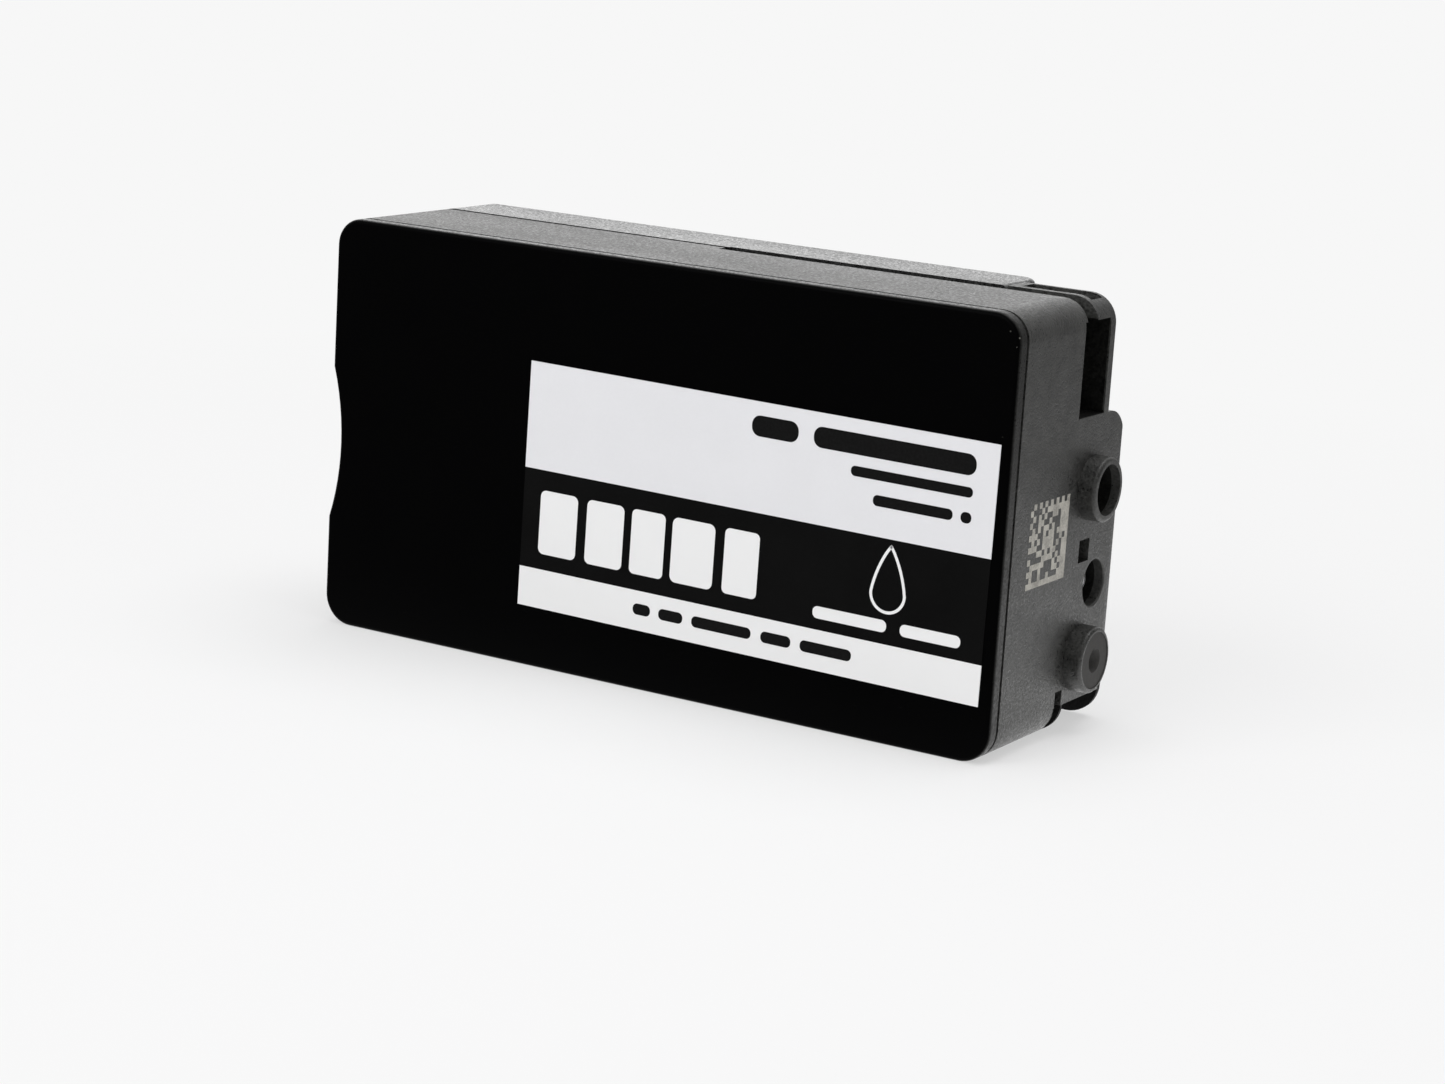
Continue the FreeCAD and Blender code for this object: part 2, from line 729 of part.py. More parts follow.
def add_maze(body):
    """The vent labyrinth: a long thin groove to and fro in the divider, fed by the bubbler."""
    right = d.maze_left + d.maze_run
    runs = int(SIZES["maze_runs"])
    run = new_sketch(body, "maze_run_outline", "front", divider_back)
    draw_box(run, d.maze_left, right, d.maze_bottom, d.maze_bottom + d.maze_width)
    repeat_up(body, pocket(body, run, d.maze_depth, ahead=False), d.maze_pitch, runs)
    ends = [("right", right - d.maze_width, 0, runs // 2), ("left", d.maze_left, 1, (runs - 1) // 2)]
    for side, left, first, count in ends:
        link = new_sketch(body, "maze_link_" + side, "front", divider_back)
        low = d.maze_bottom + d.maze_pitch * first
        draw_box(link, left, left + d.maze_width, low, low + d.maze_pitch)
        repeat_up(body, pocket(body, link, d.maze_depth, ahead=False), d.maze_pitch * 2, count)
    boss = new_sketch(body, "bubbler_boss_outline", "front", divider_front)
    draw_circle(boss, bubbler_x, bubbler_height, d.bubbler_radius + d.bubbler_wall)
    pad(body, boss, d.bubbler_boss, ahead=False)
    level = divider_front - d.bubbler_boss
    cup = d.bubbler_radius + d.fill_gap
    cross_bore(body, "bubbler_cup", bubbler_x, bubbler_height, cup, level, d.bubbler_radius * 2)
    through = divider_back - level
    cross_bore(body, "bubbler_way", bubbler_x, bubbler_height, d.bubbler_hole, level, through)


def stake_places():
    low = d.stake_inset
    high = d.body_height - d.stake_inset
    return [(x, z) for x in (stake_left, stake_right) for z in (low, high)]


def add_stakes(body):
    """Four pins that the rear cover's sockets press onto."""
    pins = new_sketch(body, "stakes", "front", divider_back)
    for x, z in stake_places():
        draw_circle(pins, x, z, d.stake_radius)
    pad(body, pins, nose_back - d.stake_end_gap - divider_back)


def make_tank_body():
    body = new_body("tank_body")
    add_tank_walls(body)
    add_spigot(body)
    add_nose(body)
    add_chip_bay(body)
    add_ports(body)
    add_maze(body)
    add_stakes(body)
    return body


def make_rear_cover():
    """A shell that slides over the spigot, with a tail wall that closes the nose at the back."""
    body = new_body("rear_cover")
    outline = new_sketch(body, "rear_outline", "front", d.body_depth)
    left_top = (0, d.body_height)
    end_top = (rear_length, d.body_height)
    tail = (d.body_length, nose_top)
    draw_polygon(outline, [
        (0, d.rear_lift), (d.body_length, d.rear_lift), tail, (rear_length, nose_top), end_top, left_top,
    ])
    pad(body, outline, d.body_depth - rear_front, ahead=False)
    low = [(0, d.rear_lift), (d.body_length, d.rear_lift)]
    round_edges(body, "rear_bottom_corner", edges_at(body.Tip.Shape, 1, low), d.corner_bottom)
    round_edges(body, "rear_top_corner", edges_at(body.Tip.Shape, 1, [left_top]), d.corner_top)
    end = edges_at(body.Tip.Shape, 2, [(rear_length, d.body_depth)])
    round_edges(body, "rear_end_edge", end, d.rear_end_round)
    top = [
        name for name in edges_in_plane(body.Tip.Shape, 1, d.body_depth)
        if body.Tip.Shape.getElement(name).BoundBox.ZMin > nose_top.value + d.corner_top.value
    ]
    round_edges(body, "rear_back_edge", top, d.rear_edge)
    step = new_sketch(body, "groove_step", "front", rear_front)
    draw_box(step, d.shoulder_length, d.body_length + OVER, spigot_top, d.body_height + OVER)
    pocket(body, step, groove_back - rear_front)
    wall = d.rear_wall
    room = new_sketch(body, "rear_room", "front", rear_front)
    draw_polygon(room, [
        (wall, rear_bottom), (nose_left, rear_bottom), (nose_left, -OVER), (d.body_length + OVER, -OVER),
        (d.body_length + OVER, nose_top), (rear_length - wall, nose_top),
        (rear_length - wall, d.body_height - wall), (wall, d.body_height - wall),
    ])
    pocket(body, room, nose_back - rear_front)
    notch_wall(body, "rear_notch_wall", rear_front, nose_back - rear_front, wall)
    notch_cut(body, "rear_notch", rear_front, d.body_depth - rear_front)
    lip = new_sketch(body, "groove_lip", "front", groove_back)
    lip_low = spigot_top + d.fit_gap
    draw_box(lip, d.shoulder_length, rear_length - wall, lip_low, d.body_height - wall)
    pad(body, lip, d.lip_wall)
    sockets = new_sketch(body, "sockets", "front", nose_back)
    holes = new_sketch(body, "socket_holes", "front", nose_back)
    for x, z in stake_places():
        draw_circle(sockets, x, z, d.stake_radius + d.fill_gap + d.socket_wall)
        draw_circle(holes, x, z, d.stake_radius + d.fill_gap)
    pad(body, sockets, nose_back - socket_front, ahead=False)
    pocket(body, holes, nose_back - socket_front, ahead=False)
    cut_nose_corner(body, "tail_corner", d.body_length - rear_length)
    return body


def make_label():
    label = doc.addObject("Part::Box", "front_label")
    bind(label, "Length", d.label_length)
    bind(label, "Width", d.label_thick)
    bind(label, "Height", d.label_height)
    label.Placement.Rotation = FreeCAD.Rotation(FreeCAD.Vector(0, 1, 0), SIZES["label_turn"])
    seat(label, label_left, -d.label_thick, d.label_bottom)
    return label


def make_slab(name, plane, level, thick, box, corner=None, ahead=True):
    """A flat piece from a box outline, its corners rounded where a radius is given."""
    body = new_body(name)
    sketch = new_sketch(body, name + "_outline", plane, level)
    draw_box(sketch, *box)
    pad(body, sketch, thick, ahead)
    if corner:
        left, right, bottom, top = box
        places = [(left, bottom), (right, bottom), (right, top), (left, top)]
        axis = {"front": 1, "plan": 2, "end": 0}[plane]
        round_edges(body, name + "_corner", edges_at(body.Tip.Shape, axis, places), corner)
    seat(body)
    return body


def make_disc(name, plane, level, thick, x, y, radius, ahead=True):
    body = new_body(name)
    sketch = new_sketch(body, name + "_outline", plane, level)
    draw_circle(sketch, x, y, radius)
    pad(body, sketch, thick, ahead)
    seat(body)
    return body


def make_ball(name, x, y, z, radius):
    ball = doc.addObject("Part::Sphere", name)
    bind(ball, "Radius", radius)
    seat(ball, x, y, z)
    return ball


def revolve(body, sketch, axis):
    turn = body.newObject("PartDesign::Revolution", sketch.Name + "_turned")
    turn.Profile = sketch
    turn.ReferenceAxis = (sketch, [axis])
    turn.Angle = 360.0
    sketch.Visibility = False
    settle(body, turn)


def make_chip():
    """The board on the slot's wall, its contact pads, and its die under resin behind it."""
    face = slot_front + d.board_thick
    box = (board_left, board_left + d.board_length, board_bottom, board_bottom + d.board_height)
    board = make_slab("chip_board", "front", slot_front, d.board_thick, box, d.board_corner)
    pads = []
    row_width = d.pad_pitch * (PAD_COLUMNS - 1)
    column_height = d.pad_row_pitch * (PAD_ROWS - 1)
    middle_x = board_left + d.board_length / 2
    middle_z = board_bottom + d.board_height / 2
    for row in range(PAD_ROWS):
        for column in range(PAD_COLUMNS):
            contact = doc.addObject("Part::Box", "pad_%d_%d" % (row, column))
            bind(contact, "Length", d.pad_length)
            bind(contact, "Width", d.pad_thick)
            bind(contact, "Height", d.pad_height)
            left = middle_x - row_width / 2 + d.pad_pitch * column - d.pad_length / 2
            bottom = middle_z - column_height / 2 + d.pad_row_pitch * row - d.pad_height / 2
            bind(contact, "Placement.Base.x", left)
            bind(contact, "Placement.Base.y", face)
            bind(contact, "Placement.Base.z", bottom)
            pads.append(contact)
    contacts = doc.addObject("Part::Compound", "chip_contacts")
    contacts.Links = pads
    seat(contacts)
    half = d.die_side / 2
    die_box = (middle_x - half, middle_x + half, middle_z - half, middle_z + half)
    die = make_slab("chip_die", "front", slot_front, d.die_thick, die_box, half / 2, ahead=False)
    return [board, contacts, die]


def make_septum():
    """The rubber disc in the ink outlet: a funnel for the needle and a cone that the ball seals."""
    body = new_body("outlet_septum")
    sketch = new_sketch(body, "septum_section", "front", port_back, 0, outlet_height)
    draw_polygon(sketch, [
        (valve_face, d.seat_mouth), (valve_face + d.seat_depth, d.needle_radius),
        (septum_face - d.funnel_depth, d.needle_radius), (septum_face, d.funnel_radius),
        (septum_face, d.septum_radius), (valve_face, d.septum_radius),
    ])
    revolve(body, sketch, "H_Axis")
    seat(body)
    return body


def ball_middle():
    """Where the ball's middle lies behind the septum, a hair clear of its cone."""
    rise = d.seat_mouth - d.needle_radius
    slope = (rise * rise + d.seat_depth * d.seat_depth).root()
    reach = (d.ball_radius + d.ball_gap) * slope - d.seat_depth * d.seat_mouth
    return valve_face - reach / rise


def make_spring():
    """The coil spring between the end of the valve bore and the ball."""
    space = ball_middle() - d.ball_radius - valve_end
    rise = space - d.spring_wire - d.ball_gap * 2
    helix = doc.addObject("Part::Helix", "spring_path")
    bind(helix, "Radius", d.spring_radius)
    bind(helix, "Height", rise)
    bind(helix, "Pitch", rise / d.spring_turns)
    wire = doc.addObject("Part::RegularPolygon", "spring_wire_section")
    wire.Polygon = 8
    bind(wire, "Circumradius", d.spring_wire / 2)
    bind(wire, "Placement.Base.x", d.spring_radius)
    wire.Placement.Rotation = FreeCAD.Rotation(FreeCAD.Vector(1, 0, 0), 90)
    spring = doc.addObject("Part::Sweep", "outlet_spring")
    spring.Sections = [wire]
    spring.Spine = (helix, [])
    spring.Solid = True
    spring.Frenet = True
    spring.Placement.Rotation = FreeCAD.Rotation(FreeCAD.Vector(0, 1, 0), 90)
    seat(spring, valve_end + d.spring_wire / 2 + d.ball_gap, port_back, outlet_height)
    return spring


def make_valve():
    ball = make_ball("outlet_ball", ball_middle(), port_back, outlet_height, d.ball_radius)
    screen = make_disc(
        "outlet_filter", "front", divider_front, d.filter_depth, ink_way, outlet_height, d.filter_radius)
    return [make_septum(), ball, make_spring(), screen]


def make_regulator():
    """The air bag on its fitment, the plate on the bag and the leaf spring that presses the plate."""
    back = divider_front - d.bag_gap
    low = air_height - d.bag_height / 2
    outline = (bag_right - d.bag_length, bag_right, low, low + d.bag_height)
    bag = make_slab("air_bag", "front", back, d.bag_thick, outline, d.bag_corner, ahead=False)
    recess = new_sketch(bag, "flange_recess", "front", back)
    draw_circle(recess, air_way, air_height, d.flange_radius + d.bag_gap)
    pocket(bag, recess, d.flange_thick, ahead=False)
    fitment = new_body("bag_fitment")
    section = new_sketch(fitment, "fitment_section", "plan", air_height, air_way)
    flange_front = divider_front - d.flange_thick
    spout_end = divider_front + d.spout_reach - d.fit_gap
    draw_polygon(section, [
        (d.spout_bore, flange_front), (d.flange_radius, flange_front), (d.flange_radius, divider_front),
        (d.spout_radius, divider_front), (d.spout_radius, spout_end), (d.spout_bore, spout_end),
    ])
    revolve(fitment, section, "V_Axis")
    seat(fitment)
    plate_back = back - d.bag_thick - d.bag_gap
    left = bag_middle - d.plate_length / 2
    low = air_height - d.plate_height / 2
    box = (left, left + d.plate_length, low, low + d.plate_height)
    plate = make_slab("bag_plate", "front", plate_back, d.plate_thick, box, d.plate_corner, ahead=False)
    crown = plate_back - d.plate_thick - d.bag_gap
    foot = d.cover_plate + d.bag_gap
    rise = crown - foot
    radius = (d.leaf_span * d.leaf_span / 4 + rise * rise) / (rise * 2)
    leaf = new_body("bag_spring")
    bow = new_sketch(leaf, "leaf_outside", "end", bag_middle - d.leaf_width / 2)
    draw_segment(bow, crown - radius, air_height, radius, foot)
    pad(leaf, bow, d.leaf_width)
    inside = new_sketch(leaf, "leaf_inside", "end", bag_middle - d.leaf_width / 2)
    draw_segment(inside, crown - radius, air_height, radius - d.leaf_thick, foot - OVER)
    pocket(leaf, inside, d.leaf_width)
    seat(leaf)
    return [bag, fitment, plate, leaf]


def make_seals():
    """The fill ball, the air port's membrane, the bubbler's ball and the film over the labyrinth."""
    fill_x = d.body_length - d.fill_sink - d.fill_radius
    fill = make_ball("fill_ball", fill_x, fill_back, fill_height, d.fill_radius - d.fill_gap)
    membrane = make_disc(
        "air_membrane", "end", air_step, d.membrane_depth, port_back, air_height, d.membrane_radius,
        ahead=False)
    bubbler_back = divider_front - d.bubbler_boss + d.bubbler_radius
    bubbler = make_ball("bubbler_ball", bubbler_x, bubbler_back, bubbler_height, d.bubbler_radius)
    margin = d.film_margin
    top = d.maze_bottom + d.maze_pitch * (d.maze_runs - 1) + d.maze_width
    box = (d.maze_left - margin, d.maze_left + d.maze_run + margin, d.maze_bottom - margin, top + margin)
    film = make_slab("vent_film", "front", divider_back, d.film_thick, box, margin / 2)
    return [fill, membrane, bubbler, film]


def check(pieces):
    """Stop unless every object was computed and every piece is a sound solid."""
    for thing in doc.Objects:
        if "Invalid" in thing.State or "Error" in thing.State:
            raise RuntimeError("%s: %s" % (thing.Name, thing.State))
    for piece in pieces:
        shape = piece.Shape
        if shape.isNull() or not shape.isValid() or not shape.Solids:
            raise RuntimeError(piece.Label + " has no sound solid")


def main():
    mouldings = [make_front_cover(), make_tank_body(), make_rear_cover()]
    for body in mouldings:
        seat(body)
    pieces = mouldings + [make_label()] + make_chip() + make_valve() + make_regulator() + make_seals()
    doc.recompute()
    check(pieces)
    os.makedirs("parts", exist_ok=True)
    for piece in pieces:
        piece.Shape.exportStep("parts/%s.step" % piece.Label)
        print("%-16s %d solid %9.2f mm3" % (piece.Label, len(piece.Shape.Solids), piece.Shape.Volume))


main()
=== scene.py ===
"""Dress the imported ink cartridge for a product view, as a set of operators with their sizes and colours."""

import contextlib
import math
import random

import bmesh
import bpy
from bpy.props import FloatProperty, FloatVectorProperty, IntProperty, PointerProperty
from mathutils import Matrix, Vector


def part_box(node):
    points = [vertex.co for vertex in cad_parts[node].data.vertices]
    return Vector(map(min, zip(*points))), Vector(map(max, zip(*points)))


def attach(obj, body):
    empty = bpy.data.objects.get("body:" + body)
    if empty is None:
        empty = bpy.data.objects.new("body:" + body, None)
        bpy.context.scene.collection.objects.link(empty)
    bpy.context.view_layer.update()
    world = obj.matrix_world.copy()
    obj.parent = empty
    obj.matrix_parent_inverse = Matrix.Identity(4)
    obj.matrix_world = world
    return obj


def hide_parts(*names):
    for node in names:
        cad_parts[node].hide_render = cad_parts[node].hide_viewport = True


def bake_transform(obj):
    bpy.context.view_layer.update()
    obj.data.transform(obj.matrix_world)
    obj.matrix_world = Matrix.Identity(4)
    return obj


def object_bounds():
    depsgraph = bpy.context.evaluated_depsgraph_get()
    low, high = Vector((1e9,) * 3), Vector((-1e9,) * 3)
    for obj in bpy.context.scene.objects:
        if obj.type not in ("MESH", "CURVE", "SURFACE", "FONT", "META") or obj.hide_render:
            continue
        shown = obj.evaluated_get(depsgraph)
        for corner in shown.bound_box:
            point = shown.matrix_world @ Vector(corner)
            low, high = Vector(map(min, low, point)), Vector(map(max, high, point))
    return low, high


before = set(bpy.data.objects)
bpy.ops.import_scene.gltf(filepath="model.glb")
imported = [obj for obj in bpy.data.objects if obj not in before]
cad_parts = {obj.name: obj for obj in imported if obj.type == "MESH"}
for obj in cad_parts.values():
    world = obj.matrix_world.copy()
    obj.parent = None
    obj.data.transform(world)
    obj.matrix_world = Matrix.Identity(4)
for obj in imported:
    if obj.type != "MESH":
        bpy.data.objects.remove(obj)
cad_low, cad_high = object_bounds()
label_low, label_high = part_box("front_label")
cover_low, cover_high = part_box("front_cover")
coil_low, coil_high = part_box("outlet_spring")
leaf_low, leaf_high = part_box("bag_spring")
bag_low, bag_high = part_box("air_bag")
label_middle = (label_low + label_high) / 2

bl_info = {
    "name": "Ink Cartridge",
    "version": (1, 0, 0),
    "blender": (4, 5, 0),
    "location": "View3D > Sidebar > Cartridge",
    "description": "Finishes, print, springs and studio for a packed ink cartridge",
    "category": "Object",
}

MM = 0.001

# Recesses that get a darker, duller finish, its darkness painted shade, as boxes by their low and high
# corners in millimetres
NOSE_DEPTHS = ((37.5, 1.5, 4.45), (53.2, 15.4, 40.0))
SLOT_DEPTHS = ((37.5, 2.2, 44.7), (54.4, 10.9, 58.2))
KEY_DEPTHS = ((37.5, 1.9, -1.0), (58.0, 17.0, 4.3))
SEAM_DEPTHS = ((-60.0, 4.83, -1.0), (37.0, 5.87, 62.0))
TAIL_DEPTHS = ((37.0, 5.0, -1.0), (58.0, 16.8, 6.0))

# The air port's bore, which gets the painted shade too: its middle along Y and Z, its radius, and its mouth
# along X
AIR_BORE = (8.45, 34.6, 3.8, 55.9)

# Corners closer than this are one; thickness of the jetted mark; half of the bag's thickness at its seam
MERGE = 0.0001 * MM
CODE_LAYER = 0.01 * MM
SEAM_HALF = 0.12 * MM


# Sizes and colours


class ViewSettings(bpy.types.PropertyGroup):
    eye: FloatVectorProperty(
        name="Eye", description="Where the camera stands", default=(0.241535, -0.400405, 0.122268),
        subtype="TRANSLATION", unit="LENGTH", precision=4)
    heading: FloatProperty(
        name="Heading", description="Turn of the camera to the left of the label face's normal",
        default=math.radians(30.984), subtype="ANGLE")
    dip: FloatProperty(
        name="Dip", description="How far the camera looks down", default=math.radians(12.443),
        subtype="ANGLE")
    roll: FloatProperty(
        name="Roll", description="Tilt of the picture about the line of sight", default=math.radians(3.534),
        subtype="ANGLE")
    lens: FloatProperty(
        name="Lens", description="Focal length on a 36 mm sensor", default=82.42, min=1.0, unit="CAMERA")


class StudioSettings(bpy.types.PropertyGroup):
    floor_radius: FloatProperty(
        name="Floor radius", description="Radius of the pale table", default=6.0, min=0.5, unit="LENGTH")
    floor_colour: FloatVectorProperty(
        name="Floor", description="Colour of the pale table", default=(0.92, 0.92, 0.925), subtype="COLOR",
        min=0.0, max=1.0)
    sky_colour: FloatVectorProperty(
        name="Surroundings", description="Colour of the room around the table", default=(0.93, 0.93, 0.93),
        subtype="COLOR", min=0.0, max=1.0)
    shadow: FloatProperty(
        name="Shadow", description="How much of the cartridge's shadow the table shows", default=0.45,
        min=0.0, max=1.0, subtype="FACTOR")
    shadow_reach: FloatProperty(
        name="Shadow reach", description="From the cartridge's middle to where the table is plain",
        default=0.30, min=0.0, unit="LENGTH")
    # The table's glow seen only in mirrors, brighter near the cartridge than far off: a painted reflection
    mirror_near: FloatProperty(
        name="Mirrored table, near",
        description="Level of the table beside the cartridge as its faces mirror it",
        default=1.5, min=0.0)
    mirror_far: FloatProperty(
        name="Mirrored table, far", description="Level of the far table as the cartridge's faces mirror it",
        default=0.25, min=0.0)
    back_glow: FloatProperty(
        name="Back glow", description="Level of the bright wall behind, seen mirrored in the top",
        default=1.75, min=0.0)
    end_gloom: FloatProperty(
        name="End gloom", description="Level of the dim room beyond the port end, seen mirrored", default=0.2,
        min=0.0)
    room_light: FloatProperty(
        name="Room light", description="Level of the light from all sides", default=0.42, min=0.0)
    key_light: FloatProperty(
        name="Key light", description="Power of the soft lamp in front", default=5.0, min=0.0, unit="POWER")
    top_light: FloatProperty(
        name="Top light", description="Power of the soft lamp above", default=5.0, min=0.0, unit="POWER")
    side_light: FloatProperty(
        name="Side light", description="Power of the soft lamp at the port end", default=0.4, min=0.0,
        unit="POWER")


class PlasticSettings(bpy.types.PropertyGroup):
    tank_colour: FloatVectorProperty(
        name="Tank", description="Colour of the tank moulding", default=(0.034, 0.034, 0.032),
        subtype="COLOR", min=0.0, max=1.0)
    cover_colour: FloatVectorProperty(
        name="Front cover", description="Colour of the front cover", default=(0.0009, 0.0009, 0.001),
        subtype="COLOR", min=0.0, max=1.0)
    rim_colour: FloatVectorProperty(
        name="Cover rim", description="Colour of the front cover's rim", default=(0.012, 0.012, 0.011),
        subtype="COLOR", min=0.0, max=1.0)
    rear_colour: FloatVectorProperty(
        name="Rear cover", description="Colour of the rear cover", default=(0.02, 0.02, 0.02),
        subtype="COLOR", min=0.0, max=1.0)
    grain: FloatProperty(
        name="Grain", description="Size of the spark-eroded texture", default=0.42 * MM, min=0.01 * MM,
        unit="LENGTH", precision=5)
    rub_width: FloatProperty(
        name="Rub width", description="Width of the dusty strip at the cover's end", default=2.2 * MM,
        min=0.0, unit="LENGTH", precision=5)


class LabelSettings(bpy.types.PropertyGroup):
    paper_colour: FloatVectorProperty(
        name="Paper", description="Colour of the pale fields", default=(0.80, 0.80, 0.82), subtype="COLOR",
        min=0.0, max=1.0)
    foot_colour: FloatVectorProperty(
        name="Foot field", description="Colour of the field at the bottom", default=(0.87, 0.87, 0.87),
        subtype="COLOR", min=0.0, max=1.0)
    ink_colour: FloatVectorProperty(
        name="Ink", description="Colour of the dark field and the dark marks", default=(0.003, 0.003, 0.003),
        subtype="COLOR", min=0.0, max=1.0)
    turn: FloatProperty(
        name="Turn", description="How far the label is stuck on askew", default=math.radians(0.676),
        subtype="ANGLE")
    dark_top: FloatProperty(
        name="Dark field top", description="From the label's top edge to the dark field", default=15.4 * MM,
        min=0.0, unit="LENGTH", precision=5)
    dark_bottom: FloatProperty(
        name="Dark field bottom", description="From the label's top edge to the end of the dark field",
        default=29.9 * MM, min=0.0, unit="LENGTH", precision=5)
    print_height: FloatProperty(
        name="Print height", description="How far the printed marks stand off the paper", default=0.02 * MM,
        min=0.0, unit="LENGTH", precision=6)
    drop_height: FloatProperty(
        name="Drop height", description="Height of the drop sign", default=9.6 * MM, min=0.0, unit="LENGTH",
        precision=5)
    drop_width: FloatProperty(
        name="Drop width", description="Width of the drop sign", default=5.6 * MM, min=0.0, unit="LENGTH",
        precision=5)
    drop_line: FloatProperty(
        name="Drop line", description="Thickness of the drop sign's outline", default=0.42 * MM, min=0.0,
        unit="LENGTH", precision=5)


class CodeSettings(bpy.types.PropertyGroup):
    cells: IntProperty(
        name="Cells", description="Cells along each side of the square mark", default=14, min=4, max=64)
    side: FloatProperty(
        name="Side", description="Side of the square mark", default=11.7 * MM, min=1.0 * MM, unit="LENGTH",
        precision=5)
    left: FloatProperty(
        name="Set back", description="From the label face to the mark", default=7.4 * MM, min=0.0,
        unit="LENGTH", precision=5)
    bottom: FloatProperty(
        name="Height", description="From the table to the mark", default=23.0 * MM, min=0.0, unit="LENGTH",
        precision=5)
    seed: IntProperty(
        name="Seed", description="Number that the pattern of cells grows from", default=11, min=0)
    colour: FloatVectorProperty(
        name="Colour", description="Colour of the printed cells", default=(0.52, 0.50, 0.45), subtype="COLOR",
        min=0.0, max=1.0)


class SpringSettings(bpy.types.PropertyGroup):
    coil_wire: FloatProperty(
        name="Coil wire", description="Thickness of the coil spring's wire", default=0.4 * MM, min=0.05 * MM,
        unit="LENGTH", precision=5)
    coil_turns: IntProperty(
        name="Coil turns", description="Turns of the coil spring, with its closed ends", default=7, min=3)
    leaf_thickness: FloatProperty(
        name="Leaf thickness", description="Thickness of the leaf spring's strip", default=0.4 * MM,
        min=0.05 * MM, unit="LENGTH", precision=5)
    bag_corner: FloatProperty(
        name="Bag corner", description="Radius of the air bag's corners", default=6.0 * MM, min=0.5 * MM,
        unit="LENGTH", precision=5)
    seam_width: FloatProperty(
        name="Bag seam", description="Width of the welded seam round the air bag", default=2.2 * MM,
        min=0.2 * MM, unit="LENGTH", precision=5)


# Modelling by hand, in code


def choose(*pieces):
    """Select only these pieces; the last is the one worked on."""
    bpy.ops.object.select_all(action="DESELECT")
    for piece in pieces:
        piece.select_set(True)
        bpy.context.view_layer.objects.active = piece


def settle():
    """Write the chosen piece's place, turn and size into its mesh."""
    bpy.ops.object.transform_apply(location=True, rotation=True, scale=True)


def begin(name):
    """Name the primitive that was just added, with its place written into its mesh."""
    piece = bpy.context.active_object
    piece.name = piece.data.name = name
    choose(piece)
    settle()
    return piece


@contextlib.contextmanager
def shaping(piece):
    """Edit mode on one piece, with nothing in it selected."""
    choose(piece)
    bpy.ops.object.mode_set(mode="EDIT")
    bpy.ops.mesh.select_all(action="DESELECT")
    yield
    bpy.ops.object.mode_set(mode="OBJECT")


def pick(piece, parts, wanted):
    """In edit mode, select the edges or the faces that pass a test."""
    bpy.ops.mesh.select_all(action="DESELECT")
    bpy.ops.mesh.select_mode(type={"edges": "EDGE", "faces": "FACE"}[parts])
    shape = bmesh.from_edit_mesh(piece.data)
    for part in getattr(shape, parts):
        part.select_set(bool(wanted(part)))
    bmesh.update_edit_mesh(piece.data)


def along(axis):
    """A test for edges that run along an axis."""
    def test(edge):
        run = edge.verts[1].co - edge.verts[0].co
        return abs(run[axis]) > run.length * 0.999
    return test


def modify(piece, kind, **settings):
    """Add a modifier, set it and apply it."""
    choose(piece)
    bpy.ops.object.modifier_add(type=kind)
    modifier = piece.modifiers[-1]
    for key, value in settings.items():
        setattr(modifier, key, value)
    bpy.ops.object.modifier_apply(modifier=modifier.name)


def turn_about(piece, point, angle, axis):
    """Turn a piece about a point and write the turn into its mesh."""
    choose(piece)
    piece.matrix_world = (
        Matrix.Translation(point) @ Matrix.Rotation(angle, 4, axis) @ Matrix.Translation(-point)
        @ piece.matrix_world)
    settle()


def tidy(piece, angle=35.0):
    """Merge doubles, point the faces outwards and shade smooth up to an angle."""
    with shaping(piece):
        bpy.ops.mesh.select_all(action="SELECT")
        bpy.ops.mesh.remove_doubles(threshold=MERGE)
        bpy.ops.mesh.normals_make_consistent(inside=False)
    choose(piece)
    bpy.ops.object.shade_smooth_by_angle(angle=math.radians(angle))


def coat(piece, material):
    """Give a piece this finish and no other."""
    piece.data.materials.clear()
    piece.data.materials.append(material)


def dress(piece, material):
    """Give a piece its finish and hand it back."""
    coat(piece, material)
    return piece


def join(name, pieces):
    """Make one piece of several."""
    choose(*pieces)
    bpy.ops.object.join()
    piece = bpy.context.active_object
    piece.name = piece.data.name = name
    return piece


# Shader sums


def rgba(colour):
    """A colour with its alpha, or the wire that carries a colour."""
    return colour if isinstance(colour, Wire) else (*colour, 1.0)


def scaled(colour, factor):
    """A colour made darker or lighter."""
    return tuple(part * factor for part in colour)


class Wire:
    """A shader socket that takes part in ordinary sums."""

    def __init__(self, paint, socket):
        self.paint = paint
        self.socket = socket

    def maths(self, operation, other):
        return self.paint.node("ShaderNodeMath", {0: self, 1: other}, operation=operation)

    def __add__(self, other):
        return self.maths("ADD", other)

    def __sub__(self, other):
        return self.maths("SUBTRACT", other)

    def __mul__(self, other):
        return self.maths("MULTIPLY", other)

    def __gt__(self, other):
        return self.maths("GREATER_THAN", other)

    def __lt__(self, other):
        return self.maths("LESS_THAN", other)


